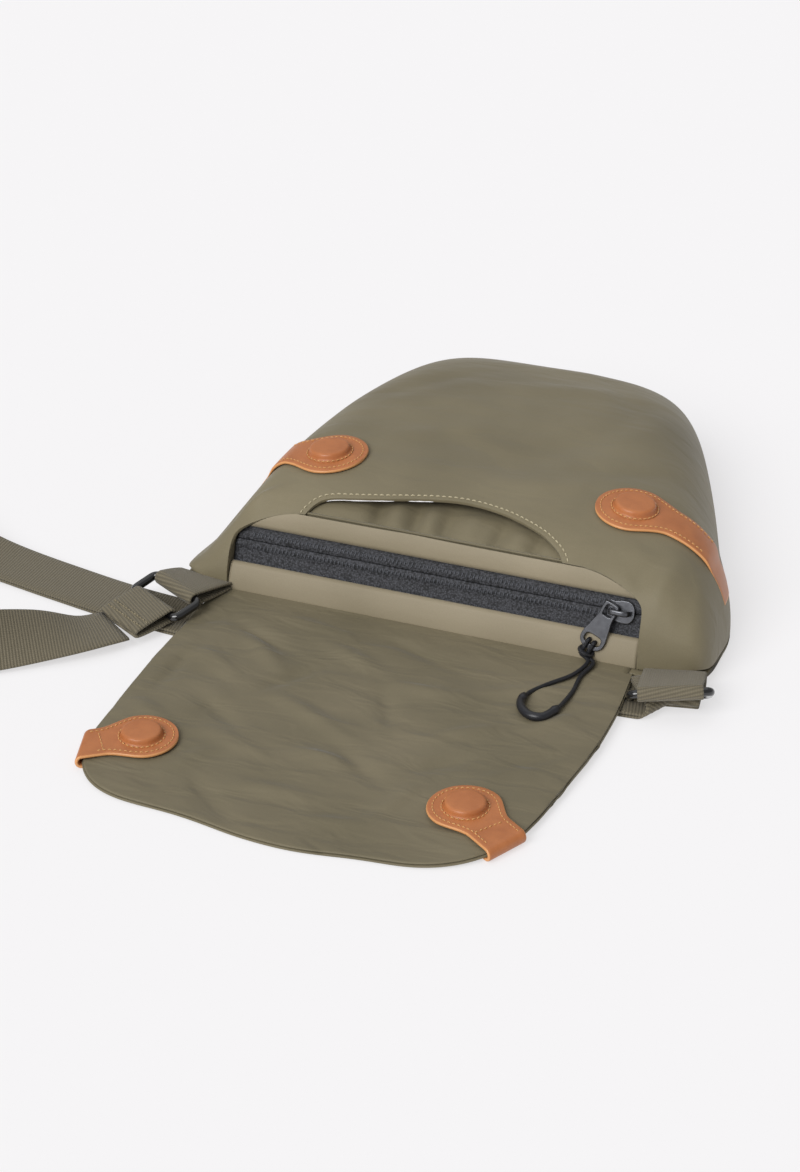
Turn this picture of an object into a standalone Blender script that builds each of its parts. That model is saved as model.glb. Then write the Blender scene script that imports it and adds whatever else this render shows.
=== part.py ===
"""A crossbody purse of coated cloth, lying on its back with its flap thrown open.

Metres, +Z up. The flat underside of the back panel is the plane z = 0. +Y runs from the zipped top of
the bag to its rounded bottom, and the closed zip's slider is at +X. Cloth, leather and webbing are open
surfaces thickened by Solidify; flat metal and moulded pieces are filled outlines; wire and cord are
bevelled curves.
"""
import math

import bmesh
import bpy
import numpy as np
from mathutils import Matrix, Vector

MM = 0.001
CLEAR = 0.3 * MM

# Body: a pillow over a tapered footprint, wider on the right because the soft corner splays there
BODY_LENGTH = 252 * MM
BODY_DEPTH = 58.5 * MM
HALF_WIDTH_LEFT = 131.5 * MM
HALF_WIDTH_RIGHT = 141 * MM
BOTTOM_HALF_WIDTH_LEFT = 84 * MM
BOTTOM_HALF_WIDTH_RIGHT = 55.3 * MM
BOTTOM_SINK = 0.309
TAPER_POWER = 1.37
DOME_POWER = 6.63
TOP_CORNER_POWER = 16
TOP_CROWN_POWER = 5
BOTTOM_CORNER_POWER = 7.6
BOTTOM_CROWN_POWER = 5.4
CORNER_PINCH = 0.8
PINCH_START = 92 * MM
PINCH_REACH = 117 * MM
FAR_SLUMP = 0.268
CLOTH = 1.6 * MM
BACK_CLOTH = 2.0 * MM
BACK_RISE = 4.4 * MM
RISE_START = 14 * MM
RISE_LENGTH = 40 * MM
SEAM_FLANGE = 3.2 * MM
LINING_CLOTH = 0.8 * MM
LINING_INSET = 11 * MM
LINING_LIFT = 1.0 * MM
SEAM_GAP = 0.75 * MM
SHELL_GRID = 22

# Crescent pocket in the front panel, and the facing behind its mouth
MOUTH_LEFT = -69 * MM
MOUTH_RIGHT = 64.3 * MM
MOUTH_CREST = -14 * MM
MOUTH_DEPTH = 22.3 * MM
MOUTH_POWER = 2.3
FACING_HALF_WIDTH = 84 * MM
FACING_LENGTH = 130 * MM
FACING_CLOTH = 1.2 * MM
FACING_DROP = 2.9 * MM
POCKET_SLACK = 5.6 * MM

# Zip gusset: a flat strip that leans back from the flap's seam
GUSSET_LEAN = math.radians(71)
GUSSET_INSET = 2.2 * MM
GUSSET_HALF_LENGTH = 104 * MM
WINDOW_LEVEL = 66 * MM
WINDOW_DROP_LEFT = 12.5 * MM
WINDOW_DROP_RIGHT = 10.5 * MM
WINDOW_FALL = 2.2
WELT = 1.6 * MM
WELT_LOWER_WIDTH = 12.1 * MM
WELT_UPPER_WIDTH = 9.1 * MM
ZIP_BELOW = 11.9 * MM
ZIP_ABOVE = 8.1 * MM
TAPE = 1.0 * MM
TAPE_TUCK = 6 * MM
TAPE_SLIT = 1.1 * MM
TOOTH_PITCH = 3 * MM
TOOTH_WIDTH = 1.2 * MM
TOOTH_REACH = 0.9 * MM
TOOTH_COUNT = 62
COIL = 2.0 * MM
COIL_BACK = 3.6 * MM
COIL_START = -95 * MM
STOP_LENGTH = 2.6 * MM

# Slider, pull tab and cord loop
SLIDER_X = 92.7 * MM
SLIDER_LENGTH = 13 * MM
SLIDER_TAIL = 4.8 * MM
SLIDER_NOSE = 5.5 * MM
PLATE = 1.4 * MM
SLIDER_WEB = 0.5 * MM
BRIDGE_WIDTH = 2.4 * MM
BRIDGE_LEG = 1.8 * MM
BRIDGE_BAR = 1.2 * MM
PIVOT_HEIGHT = 3.3 * MM
PULL_YAW = math.radians(-22)
PULL_LENGTH = 24.6 * MM
PULL_TOP_HALF = 3.8 * MM
PULL_END_HALF = 6.2 * MM
PULL_THICK = 1.4 * MM
PULL_TOP = 3.9 * MM
PULL_WINDOW = 5.6 * MM
PULL_WINDOW_HALF = 2.3 * MM
PULL_BAR = 1.2 * MM
PULL_SLOT = 4.6 * MM
PULL_SLOT_HALF = 4.2 * MM
PULL_END_BAR = 2.5 * MM
CORD_RADIUS = 1.0 * MM
GRIP_RADIUS = 2.1 * MM

# Flap: a spine that stands up over the zip and a panel that lies on the front
FLAP_OFFSET = 3.5 * MM
FLAP_LAYER = 1.0 * MM
SPINE_HALF_WIDTH = 101 * MM
FLAP_HALF_WIDTH = 105 * MM
FLAP_LENGTH = 184 * MM
FLAP_STRAIGHT = 106 * MM
FLAP_CORNER_POWERS = (3.2, 3.2)
CLOSED_LIFT = math.radians(85)
PANEL_SLOPE = math.radians(1.0)
FOLD_GAP = 0.4 * MM

# Leather tabs with a magnet in a raised pod
MAGNET_X = 78 * MM
BODY_MAGNET_Y = 59.5 * MM
TAB = 1.6 * MM
TAB_SEAT = 0.45 * MM
TAB_HEAD = 18.5 * MM
TAB_HALF_WIDTH = 11.5 * MM
TAB_NECK = 21 * MM
BODY_TAB_END = 20 * MM
FLAP_TAB_ANGLE = math.radians(40)
FLAP_TAB_UNDER = 20 * MM
POD_RADIUS = 10.6 * MM
POD_HEIGHT = 3.3 * MM
POD_WALL = 1.2 * MM
MAGNET_RADIUS = 8.8 * MM
MAGNET_THICK = 1.8 * MM
MAGNET_GAP = 1.35 * MM

# Webbing, rings and adjuster
WEBBING = 30 * MM
WEBBING_THICK = 1.4 * MM
RING_WIRE = 2.1 * MM
RING_INSIDE = (32 * MM, 10.6 * MM)
RING_CORNER = 3.2 * MM
GLIDE_LENGTH = 24 * MM
GLIDE_HEIGHT = 39 * MM
GLIDE_THICK = 2.0 * MM
GLIDE_BAR = 4.0 * MM
GLIDE_SLOT = 32 * MM
STRAP_FLOOR = 0.3 * MM
ADJUSTER_CROWD = 1.7
LOOP_TURN = 0.4
LOOP_FULLNESS = 0.35
LOOP_COLUMNS = 20

# Places worked out from the sizes above
SEAM_Y = -BODY_LENGTH / 2
BACK_TOP = BACK_RISE + BACK_CLOTH
FLAP_THICK = 2 * FLAP_LAYER + CLEAR
HINGE = Vector((0, SEAM_Y - FLAP_OFFSET, BACK_RISE + FLAP_THICK - 0.2 * MM))
ZIP_MIDDLE = CLEAR + WELT_LOWER_WIDTH + ZIP_BELOW
GUSSET_TOP = ZIP_MIDDLE + ZIP_ABOVE + WELT_UPPER_WIDTH
TAPE_TOP = -WELT - CLEAR
COIL_TOP = TAPE_TOP - TAPE - CLEAR
GUSSET_FOOT = Vector((0, SEAM_Y + GUSSET_INSET, BACK_TOP + WELT * math.cos(GUSSET_LEAN)))
GUSSET = Matrix.Translation(GUSSET_FOOT) @ Matrix.Rotation(GUSSET_LEAN, 4, "X")
TAB_STACK = CLEAR + TAB + CLEAR + POD_HEIGHT

for leftover in list(bpy.data.objects):
    bpy.data.objects.remove(leftover, do_unlink=True)

PURSE = bpy.data.collections.new("crossbody_purse")
CUTTERS = bpy.data.collections.new("cutters")
for group in (PURSE, CUTTERS):
    bpy.context.scene.collection.children.link(group)


def finish(name, colour, roughness, metallic=0.0):
    """A Principled material with one colour, given as linear red, green and blue."""
    made = bpy.data.materials.new(name)
    made.use_nodes = True
    shader = made.node_tree.nodes["Principled BSDF"]
    shader.inputs["Base Color"].default_value = (*colour, 1)
    shader.inputs["Roughness"].default_value = roughness
    shader.inputs["Metallic"].default_value = metallic
    return made


OLIVE = finish("olive_coated_cloth", (0.19, 0.165, 0.10), 0.6)
PALE_OLIVE = finish("olive_welt_cloth", (0.29, 0.25, 0.17), 0.55)
LINING = finish("grey_lining", (0.30, 0.30, 0.28), 0.7)
LEATHER = finish("tan_leather", (0.53, 0.20, 0.09), 0.45)
TAPE_BLACK = finish("charcoal_zip_tape", (0.04, 0.042, 0.05), 0.8)
NYLON = finish("black_nylon", (0.02, 0.02, 0.025), 0.5)
NICKEL = finish("dark_nickel", (0.35, 0.34, 0.33), 0.3, 1.0)
STEEL = finish("magnet_steel", (0.45, 0.45, 0.46), 0.35, 1.0)
GLOSS_BLACK = finish("gloss_black_metal", (0.012, 0.012, 0.014), 0.12, 0.6)
WEB_OLIVE = finish("olive_webbing", (0.20, 0.175, 0.115), 0.75)
CORD_BLACK = finish("black_cord", (0.012, 0.013, 0.016), 0.6)


def empty(name, matrix, parent=None):
    """A plain axis that other objects hang on, such as a joint's."""
    axis = bpy.data.objects.new(name, None)
    PURSE.objects.link(axis)
    axis.parent = parent
    axis.matrix_world = matrix
    bpy.context.view_layer.update()
    return axis


def place(name, data, material, matrix=None, parent=None):
    """Make one named piece from a mesh or curve, where matrix is its place in the world."""
    piece = bpy.data.objects.new(name, data)
    PURSE.objects.link(piece)
    data.materials.clear()
    data.materials.append(material)
    piece.parent = parent
    piece.matrix_world = matrix or Matrix()
    bpy.context.view_layer.update()
    return piece


def surface(name, columns, rows, shape):
    """A grid mesh whose points are shape(u, v), with u and v running from -1 to 1."""
    grid = bmesh.new()
    bmesh.ops.create_grid(grid, x_segments=columns, y_segments=rows, size=1)
    flat = np.array([v.co[:2] for v in grid.verts]) / max(v.co.x for v in grid.verts)
    for vert, point in zip(grid.verts, np.stack(shape(flat[:, 0], flat[:, 1]), axis=1)):
        vert.co = point
    mesh = bpy.data.meshes.new(name)
    grid.to_mesh(mesh)
    grid.free()
    mesh.shade_smooth()
    return mesh


def thicken(piece, thickness, side):
    """Give an open surface its thickness, along its normals (side 1) or against them (side -1)."""
    shell = piece.modifiers.new("thickness", "SOLIDIFY")
    shell.thickness = thickness
    shell.offset = side
    shell.use_even_offset = True


def outline_mesh(name, outlines, thickness):
    """A flat piece filled between closed outlines, thickness / 2 either side of its own XY plane."""
    curve = bpy.data.curves.new(name, "CURVE")
    curve.dimensions = "2D"
    curve.fill_mode = "BOTH"
    curve.extrude = thickness / 2
    for outline in outlines:
        spline = curve.splines.new("POLY")
        spline.points.add(len(outline) - 1)
        for point, (x, y) in zip(spline.points, outline):
            point.co = (x, y, 0, 1)
        spline.use_cyclic_u = True
    holder = bpy.data.objects.new(name, curve)
    CUTTERS.objects.link(holder)
    bpy.context.view_layer.update()
    graph = bpy.context.evaluated_depsgraph_get()
    mesh = bpy.data.meshes.new_from_object(holder.evaluated_get(graph))
    bpy.data.objects.remove(holder)
    welded = bmesh.new()
    welded.from_mesh(mesh)
    bmesh.ops.remove_doubles(welded, verts=welded.verts, dist=1e-6)
    bmesh.ops.recalc_face_normals(welded, faces=welded.faces)
    welded.to_mesh(mesh)
    welded.free()
    mesh.name = name
    return mesh


def rectangle(x0, x1, y0, y1):
    """The four corners of a rectangle, anticlockwise."""
    return [(x0, y0), (x1, y0), (x1, y1), (x0, y1)]


def rounded(x0, x1, y0, y1, radius, steps=4):
    """A rectangle with round corners, anticlockwise."""
    corners = ((x1, y1, 0), (x0, y1, 90), (x0, y0, 180), (x1, y0, 270))
    points = []
    for x, y, start in corners:
        centre = (x - math.copysign(radius, x - (x0 + x1) / 2), y - math.copysign(radius, y - (y0 + y1) / 2))
        for step in range(steps + 1):
            angle = math.radians(start + 90 * step / steps)
            points.append((centre[0] + radius * math.cos(angle), centre[1] + radius * math.sin(angle)))
    return points


def operand(name, mesh, matrix):
    """A hidden solid that a Boolean cuts with or adds."""
    solid = bpy.data.objects.new(name, mesh)
    CUTTERS.objects.link(solid)
    solid.matrix_world = matrix
    solid.hide_render = True
    solid.display_type = "WIRE"
    bpy.context.view_layer.update()
    return solid


def combine(piece, solid, operation):
    """Cut a piece with a solid (DIFFERENCE) or add the solid to it (UNION)."""
    step = piece.modifiers.new(solid.name, "BOOLEAN")
    step.operation = operation
    step.solver = "EXACT"
    step.object = solid


def wire(name, points, radius, material, cyclic=False, parent=None):
    """A round wire or cord along points given in the world."""
    curve = bpy.data.curves.new(name, "CURVE")
    curve.dimensions = "3D"
    curve.bevel_depth = radius
    curve.bevel_resolution = 2
    curve.use_fill_caps = not cyclic
    spline = curve.splines.new("POLY")
    spline.points.add(len(points) - 1)
    origin = parent.matrix_world.inverted() if parent else Matrix()
    for point, spot in zip(spline.points, points):
        point.co = (*(origin @ Vector(spot)), 1)
    spline.use_cyclic_u = cyclic
    return place(name, curve, material, parent.matrix_world if parent else None, parent)


def smooth_route(points, count, crowd=1.0):
    """Points along a smooth curve through a route's own points (Catmull-Rom), closer set at its start."""
    keys = np.array(points, dtype=float)
    padded = np.vstack([2 * keys[0] - keys[1], keys, 2 * keys[-1] - keys[-2]])
    steps = np.linspace(0, 1, 24, endpoint=False)[:, None]
    runs = []
    for a, b, c, d in zip(padded, padded[1:], padded[2:], padded[3:]):
        runs.append(0.5 * (2 * b + (c - a) * steps + (2 * a - 5 * b + 4 * c - d) * steps**2
                           + (3 * b - a - 3 * c + d) * steps**3))
    dense = np.vstack(runs + [keys[-1:]])
    along = np.concatenate([[0], np.cumsum(np.linalg.norm(np.diff(dense[:, :3], axis=0), axis=1))])
    even = np.linspace(0, 1, count) ** crowd * along[-1]
    return np.stack([np.interp(even, along, dense[:, k]) for k in range(dense.shape[1])], axis=1)


# Body shell


def underside(y):
    """Height of the back panel's underside: flat, lifted near the top where the strap passes below."""
    part = np.clip((SEAM_Y + RISE_START + RISE_LENGTH - y) / RISE_LENGTH, 0, 1)
    return BACK_RISE * part * part * (3 - 2 * part)


def corner_power(cy, rho):
    """How square the footprint is: sharp corners at the zipped top, round ones at the bottom."""
    sharp = np.where(cy < 0, TOP_CORNER_POWER, BOTTOM_CORNER_POWER)
    soft = np.where(cy < 0, TOP_CROWN_POWER, BOTTOM_CROWN_POWER)
    return soft + (sharp - soft) * rho**6


def reach(cx, cy):
    """0 in the middle of the footprint and 1 on its edge, from cx and cy that run from -1 to 1."""
    rho = np.maximum(np.abs(cx), np.abs(cy))
    for _ in range(8):
        power = corner_power(cy, rho)
        rho = (np.abs(cx) ** power + np.abs(cy) ** power) ** (1 / power)
    return np.minimum(rho, 1)


def half_width(right, cy, inset):
    """Half-width of the body, on its right or left side, at cy along its length."""
    top = np.where(right, HALF_WIDTH_RIGHT, HALF_WIDTH_LEFT)
    bottom = np.where(right, BOTTOM_HALF_WIDTH_RIGHT, BOTTOM_HALF_WIDTH_LEFT)
    return top - (top - bottom) * ((cy + 1) / 2) ** TAPER_POWER - inset


def disc(u, v):
    """Spread a square grid over the footprint, with its lines closer near the edge."""
    ring = np.maximum(np.maximum(np.abs(u), np.abs(v)), 1e-9)
    ex, ey = u / ring, v / ring
    power = corner_power(ey, np.ones_like(ey))
    edge = (np.abs(ex) ** power + np.abs(ey) ** power) ** (1 / power)
    spread = np.sin(ring * math.pi / 2) / np.maximum(edge, 1e-9)
    return ex * spread, ey * spread


def pinched(x, y):
    """The share of its height that the pillow loses in its empty top left corner."""
    part = np.clip((-x - PINCH_START) / (HALF_WIDTH_LEFT - PINCH_START), 0, 1)
    return CORNER_PINCH * part * part * (3 - 2 * part) * np.exp(-(((y - SEAM_Y) / PINCH_REACH) ** 2))


def slumped(cx, cy):
    """The share of its height that the pillow loses down its far right side."""
    return FAR_SLUMP * np.clip(cx, 0, 1) ** 2 * np.clip((cy + 1) / 2, 0, 1) ** 2


def dome(cx, cy, inset=0.0):
    """The pillow: height from the edge of the back panel up to the body's depth, less an inset."""
    x = cx * half_width(cx > 0, cy, inset)
    y = cy * (BODY_LENGTH / 2 - inset)
    loss = pinched(x, y)
    base = underside(y) + BACK_CLOTH + (LINING_LIFT if inset else SEAM_GAP) + CLOTH * loss
    top = BODY_DEPTH * (1 - BOTTOM_SINK * np.maximum(cy, 0) ** 2) - inset
    rise = np.sqrt(np.maximum(1 - reach(cx, cy) ** DOME_POWER, 0)) * (1 - loss) * (1 - slumped(cx, cy))
    return x, y, base + (top - base) * rise


def dome_at(x, y):
    """Height of the body's outer surface above a point of its footprint."""
    cy = y / (BODY_LENGTH / 2)
    return dome(x / half_width(x > 0, cy, 0.0), cy)[2]


def dome_height(x, y):
    """The same height for a single point."""
    return float(dome_at(np.array(x), np.array(y)))


def back_shape(u, v):
    cx, cy = disc(u, v)
    y = cy * BODY_LENGTH / 2 - SEAM_FLANGE * np.maximum(-cy, 0) ** 12
    return cx * half_width(cx > 0, cy, 0.0), y, underside(y)


def pillow(inset):
    return lambda u, v: dome(*disc(u, v), inset)


back = place("back_panel", surface("back_panel", SHELL_GRID, SHELL_GRID, back_shape), OLIVE)
thicken(back, BACK_CLOTH, 1)

front = place("front_panel", surface("front_panel", SHELL_GRID, SHELL_GRID, pillow(0.0)), OLIVE)
thicken(front, CLOTH, -1)

lining = place("main_lining", surface("main_lining", 16, 16, pillow(LINING_INSET)), LINING)
thicken(lining, LINING_CLOTH, -1)


def window_top(x):
    """How far up the gusset its window reaches: level in the middle, falling towards both ends."""
    drop = np.where(x > 0, WINDOW_DROP_RIGHT, WINDOW_DROP_LEFT)
    part = np.clip((np.abs(x) - WINDOW_LEVEL) / (GUSSET_HALF_LENGTH - WINDOW_LEVEL), 0, 1)
    return GUSSET_TOP + CLEAR - drop * part**WINDOW_FALL


WINDOW_REACH = 30 * MM
WINDOW_STEPS = 12
falling = np.linspace(WINDOW_LEVEL, GUSSET_HALF_LENGTH, WINDOW_STEPS)
across = np.concatenate([falling[::-1], -falling])
window_outline = [(-GUSSET_HALF_LENGTH, -WINDOW_REACH), (GUSSET_HALF_LENGTH, -WINDOW_REACH)]
window_outline += list(zip(across, window_top(across)))
window = operand("gusset_window", outline_mesh("gusset_window", [window_outline], WINDOW_REACH), GUSSET)
MOUTH_STEPS = 24
mouth_y = SEAM_Y + GUSSET_INSET + GUSSET_TOP * math.cos(GUSSET_LEAN)
across = np.linspace(MOUTH_RIGHT, MOUTH_LEFT, MOUTH_STEPS)
half_span = np.where(across > MOUTH_CREST, MOUTH_RIGHT - MOUTH_CREST, MOUTH_CREST - MOUTH_LEFT)
mouth_rise = MOUTH_DEPTH * (1 - (np.abs(across - MOUTH_CREST) / half_span) ** MOUTH_POWER)
mouth_outline = list(zip(across, mouth_y + mouth_rise))
mouth_outline += list(zip(across[-2:0:-1], mouth_y - mouth_rise[-2:0:-1]))
mouth = operand("pocket_mouth", outline_mesh("pocket_mouth", [mouth_outline], BODY_DEPTH),
                Matrix.Translation((0, 0, BODY_DEPTH)))
combine(front, window, "DIFFERENCE")
combine(front, mouth, "DIFFERENCE")
combine(lining, window, "DIFFERENCE")


def facing_shape(u, v):
    """The pocket's inner layer: under the front panel, sagging away from it in the middle."""
    x = u * FACING_HALF_WIDTH
    y = mouth_y + WELT + CLEAR + (v + 1) / 2 * FACING_LENGTH
    sag = POCKET_SLACK * (1 - u**4) * np.sin(np.clip((v + 1) / 2, 0, 1) * math.pi) ** 0.7
    near = 0.5 * MM
    slope_x = (dome_at(x + near, y) - dome_at(x - near, y)) / (2 * near)
    slope_y = (dome_at(x, y + near) - dome_at(x, y - near)) / (2 * near)
    return x, y, dome_at(x, y) - FACING_DROP * np.sqrt(1 + slope_x**2 + slope_y**2) - sag


facing = place("pocket_facing", surface("pocket_facing", 14, 12, facing_shape), PALE_OLIVE)
thicken(facing, FACING_CLOTH, -1)


# Zip gusset, laid out flat: x along the zip, y up the slope, z out of the bag

STRIP = GUSSET_HALF_LENGTH - 2 * CLEAR
STRIP_STEPS = 12


def strip(name, low, high, top, thickness, material):
    """A flat strip the length of the gusset, its outer face at top, kept below the window's edge."""
    side = np.linspace(WINDOW_LEVEL, STRIP, STRIP_STEPS)
    x = np.concatenate([side[::-1], -side])
    upper = np.minimum(high, window_top(x) - 2 * CLEAR)
    kept = upper > low + thickness / 2
    x, upper = x[kept], upper[kept]
    mesh = outline_mesh(name, [[(x[-1], low), (x[0], low), *zip(x, upper)]], thickness)
    piece = place(name, mesh, material, GUSSET @ Matrix.Translation((0, 0, top - thickness / 2)))
    edge = piece.modifiers.new("soft_edge", "BEVEL")
    edge.width = thickness / 4
    edge.segments = 1
    return piece


strip("zip_welt_lower", CLEAR, CLEAR + WELT_LOWER_WIDTH, 0, WELT, PALE_OLIVE)
strip("zip_welt_upper", GUSSET_TOP - WELT_UPPER_WIDTH, GUSSET_TOP, 0, WELT, PALE_OLIVE)
tape_low = ZIP_MIDDLE - ZIP_BELOW - TAPE_TUCK
tape_high = ZIP_MIDDLE + ZIP_ABOVE + TAPE_TUCK
strip("zip_tape_lower", tape_low, ZIP_MIDDLE - TAPE_SLIT / 2, TAPE_TOP, TAPE, TAPE_BLACK)
strip("zip_tape_upper", ZIP_MIDDLE + TAPE_SLIT / 2, tape_high, TAPE_TOP, TAPE, TAPE_BLACK)


def coil_outline(side):
    """A row of coil as a rack: its back away from the middle, its teeth reaching past it."""
    root = TOOTH_REACH + CLEAR
    first = COIL_START + (0 if side < 0 else TOOTH_PITCH / 2)
    end = COIL_START + TOOTH_COUNT * TOOTH_PITCH
    points = [(COIL_START, ZIP_MIDDLE + side * COIL_BACK), (COIL_START, ZIP_MIDDLE + side * root)]
    for tooth in range(TOOTH_COUNT):
        left = first + tooth * TOOTH_PITCH + CLEAR / 2
        right = left + TOOTH_WIDTH
        for x, y in ((left, root), (left, -TOOTH_REACH), (right, -TOOTH_REACH), (right, root)):
            points.append((x, ZIP_MIDDLE + side * y))
    points.append((end, ZIP_MIDDLE + side * root))
    points.append((end, ZIP_MIDDLE + side * COIL_BACK))
    return points


coil_place = GUSSET @ Matrix.Translation((0, 0, COIL_TOP - COIL / 2))
for name, side in (("zip_coil_lower", -1), ("zip_coil_upper", 1)):
    place(name, outline_mesh(name, [coil_outline(side)], COIL), NYLON, coil_place)

bottom_stop_x = COIL_START - CLEAR - STOP_LENGTH
bottom_stop = rectangle(bottom_stop_x, COIL_START - CLEAR, ZIP_MIDDLE - COIL_BACK, ZIP_MIDDLE + COIL_BACK)
place("zip_stop_bottom", outline_mesh("zip_stop_bottom", [bottom_stop], COIL), NICKEL, coil_place)
top_stop_x = SLIDER_X + SLIDER_LENGTH / 2 + 2 * CLEAR
for name, side in (("zip_stop_top_lower", -1), ("zip_stop_top_upper", 1)):
    ends = sorted((ZIP_MIDDLE + side * TAPE_SLIT, ZIP_MIDDLE + side * COIL_BACK))
    mesh = outline_mesh(name, [rectangle(top_stop_x, top_stop_x + STOP_LENGTH, *ends)], COIL)
    place(name, mesh, NICKEL, coil_place)

# Slider: two plates joined by a thin web in the slit, guide flanges, and a bridge for the pull tab
slider_axis = empty("zip_slide_axis", GUSSET @ Matrix.Translation((SLIDER_X, ZIP_MIDDLE, 0)))
slider_place = slider_axis.matrix_world
LOWER_PLATE_TOP = COIL_TOP - COIL - CLEAR
UPPER_PLATE_TOP = TAPE_TOP + CLEAR + PLATE
half = SLIDER_LENGTH / 2
plate_outline = [(-half, -SLIDER_TAIL), (-half / 3, -SLIDER_TAIL), (half / 3, -SLIDER_NOSE),
                 (half * 0.8, -SLIDER_NOSE * 0.8), (half, -SLIDER_NOSE * 0.4)]
plate_outline += [(x, -y) for x, y in reversed(plate_outline)]
upper_place = slider_place @ Matrix.Translation((0, 0, UPPER_PLATE_TOP - PLATE / 2))
slider_mesh = outline_mesh("zip_slider", [plate_outline], PLATE)
slider = place("zip_slider", slider_mesh, NICKEL, upper_place, slider_axis)


def slider_block(name, outline, low, high):
    """A solid between two heights above the gusset that becomes part of the slider."""
    middle = slider_place @ Matrix.Translation((0, 0, (low + high) / 2))
    combine(slider, operand(name, outline_mesh(name, [outline], high - low), middle), "UNION")


SINK = PLATE / 2
slider_block("slider_lower_plate", plate_outline, LOWER_PLATE_TOP - PLATE, LOWER_PLATE_TOP)
slider_block("slider_web", rectangle(half * 0.1, half * 0.85, -SLIDER_WEB / 2, SLIDER_WEB / 2),
             LOWER_PLATE_TOP - SINK, UPPER_PLATE_TOP - SINK)
for name, side in (("slider_flange_lower", -1), ("slider_flange_upper", 1)):
    inner, outer = sorted((side * (COIL_BACK + CLEAR), side * SLIDER_TAIL))
    slider_block(name, rectangle(-half * 0.95, half * 0.3, inner, outer), LOWER_PLATE_TOP - SINK, COIL_TOP)
BRIDGE_ROOM = PIVOT_HEIGHT + PULL_THICK / 2 + 3 * CLEAR
bridge_top = BRIDGE_ROOM + BRIDGE_BAR
bridge_left = -half * 0.9
bridge_right = half * 0.8
ROUND = 1.6 * MM
bridge_outline = [(bridge_left, UPPER_PLATE_TOP - SINK), (bridge_left + BRIDGE_LEG, UPPER_PLATE_TOP - SINK),
                  (bridge_left + BRIDGE_LEG, BRIDGE_ROOM), (bridge_right - BRIDGE_LEG, BRIDGE_ROOM),
                  (bridge_right - BRIDGE_LEG, UPPER_PLATE_TOP - SINK), (bridge_right, UPPER_PLATE_TOP - SINK),
                  (bridge_right, bridge_top - ROUND), (bridge_right - ROUND, bridge_top),
                  (bridge_left + ROUND, bridge_top), (bridge_left, bridge_top - ROUND)]
bridge = operand("slider_bridge", outline_mesh("slider_bridge", [bridge_outline], BRIDGE_WIDTH),
                 slider_place @ Matrix.Rotation(math.pi / 2, 4, "X"))
combine(slider, bridge, "UNION")

# Pull tab: its window goes round the bridge's left leg, its lower slot carries the cord
pivot_spot = Matrix.Translation((bridge_left + BRIDGE_LEG / 2, 0, PIVOT_HEIGHT))
pivot = pivot_spot @ Matrix.Rotation(PULL_YAW, 4, "Z")
pull_axis = empty("puller_swing_axis", slider_place @ pivot, slider_axis)
pull_end = PULL_TOP - PULL_LENGTH
tab_outline = [(-PULL_TOP_HALF * 0.7, PULL_TOP), (-PULL_TOP_HALF, PULL_TOP * 0.5),
               (-PULL_TOP_HALF, -PULL_WINDOW * 0.7), (-PULL_END_HALF, pull_end * 0.72)]
ROUND_STEPS = 8
for step in range(1, ROUND_STEPS):
    angle = math.pi * step / ROUND_STEPS
    tab_outline.append((-PULL_END_HALF * math.cos(angle), pull_end * (0.72 + 0.28 * math.sin(angle))))
tab_outline += [(-x, y) for x, y in reversed(tab_outline[:4])]
hole_top = PULL_TOP - PULL_BAR
window_hole = rounded(-PULL_WINDOW_HALF, PULL_WINDOW_HALF, hole_top - PULL_WINDOW, hole_top, 0.8 * MM, 2)
slot_low = pull_end + PULL_END_BAR
slot_hole = rounded(-PULL_SLOT_HALF, PULL_SLOT_HALF, slot_low, slot_low + PULL_SLOT, 1.6 * MM, 3)
tab_mesh = outline_mesh("zip_puller", [tab_outline, window_hole, slot_hole], PULL_THICK)
place("zip_puller", tab_mesh, NICKEL, pull_axis.matrix_world, pull_axis)

# Cord: a bight through the slot, then two strands that run on to the flap and end in the moulded grip
BIGHT = CORD_RADIUS + CLEAR
bar_low, bar_high, bar_face = pull_end, slot_low, PULL_THICK / 2
bight_off = bar_face + BIGHT + 0.05 * MM
bight_side = [(bar_low - 3.2 * MM, bar_face + BIGHT - 0.3 * MM), (bar_low - 0.4 * MM, bight_off),
              (bar_high - 0.4 * MM, bight_off), (bar_high + 0.7 * MM, bar_face + BIGHT * 0.9),
              (bar_high + 1.4 * MM, bar_face * 1.2)]
bight = bight_side + [(bar_high + 1.5 * MM, 0)] + [(y, -z) for y, z in reversed(bight_side)]
bight_world = [pull_axis.matrix_world @ Vector((0, y, z)) for y, z in bight]
LIE = HINGE.z + CORD_RADIUS + CLEAR
GRIP_LIE = HINGE.z + GRIP_RADIUS + CLEAR
KNEE_Y = HINGE.y + 0.5 * MM
knee_left = Vector((82.5 * MM, KNEE_Y, LIE + 1.2 * MM))
knee_right = Vector((86.0 * MM, KNEE_Y, LIE))
wire("pull_cord_bight", [knee_left, *bight_world, knee_right], CORD_RADIUS, CORD_BLACK, parent=pull_axis)

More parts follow.
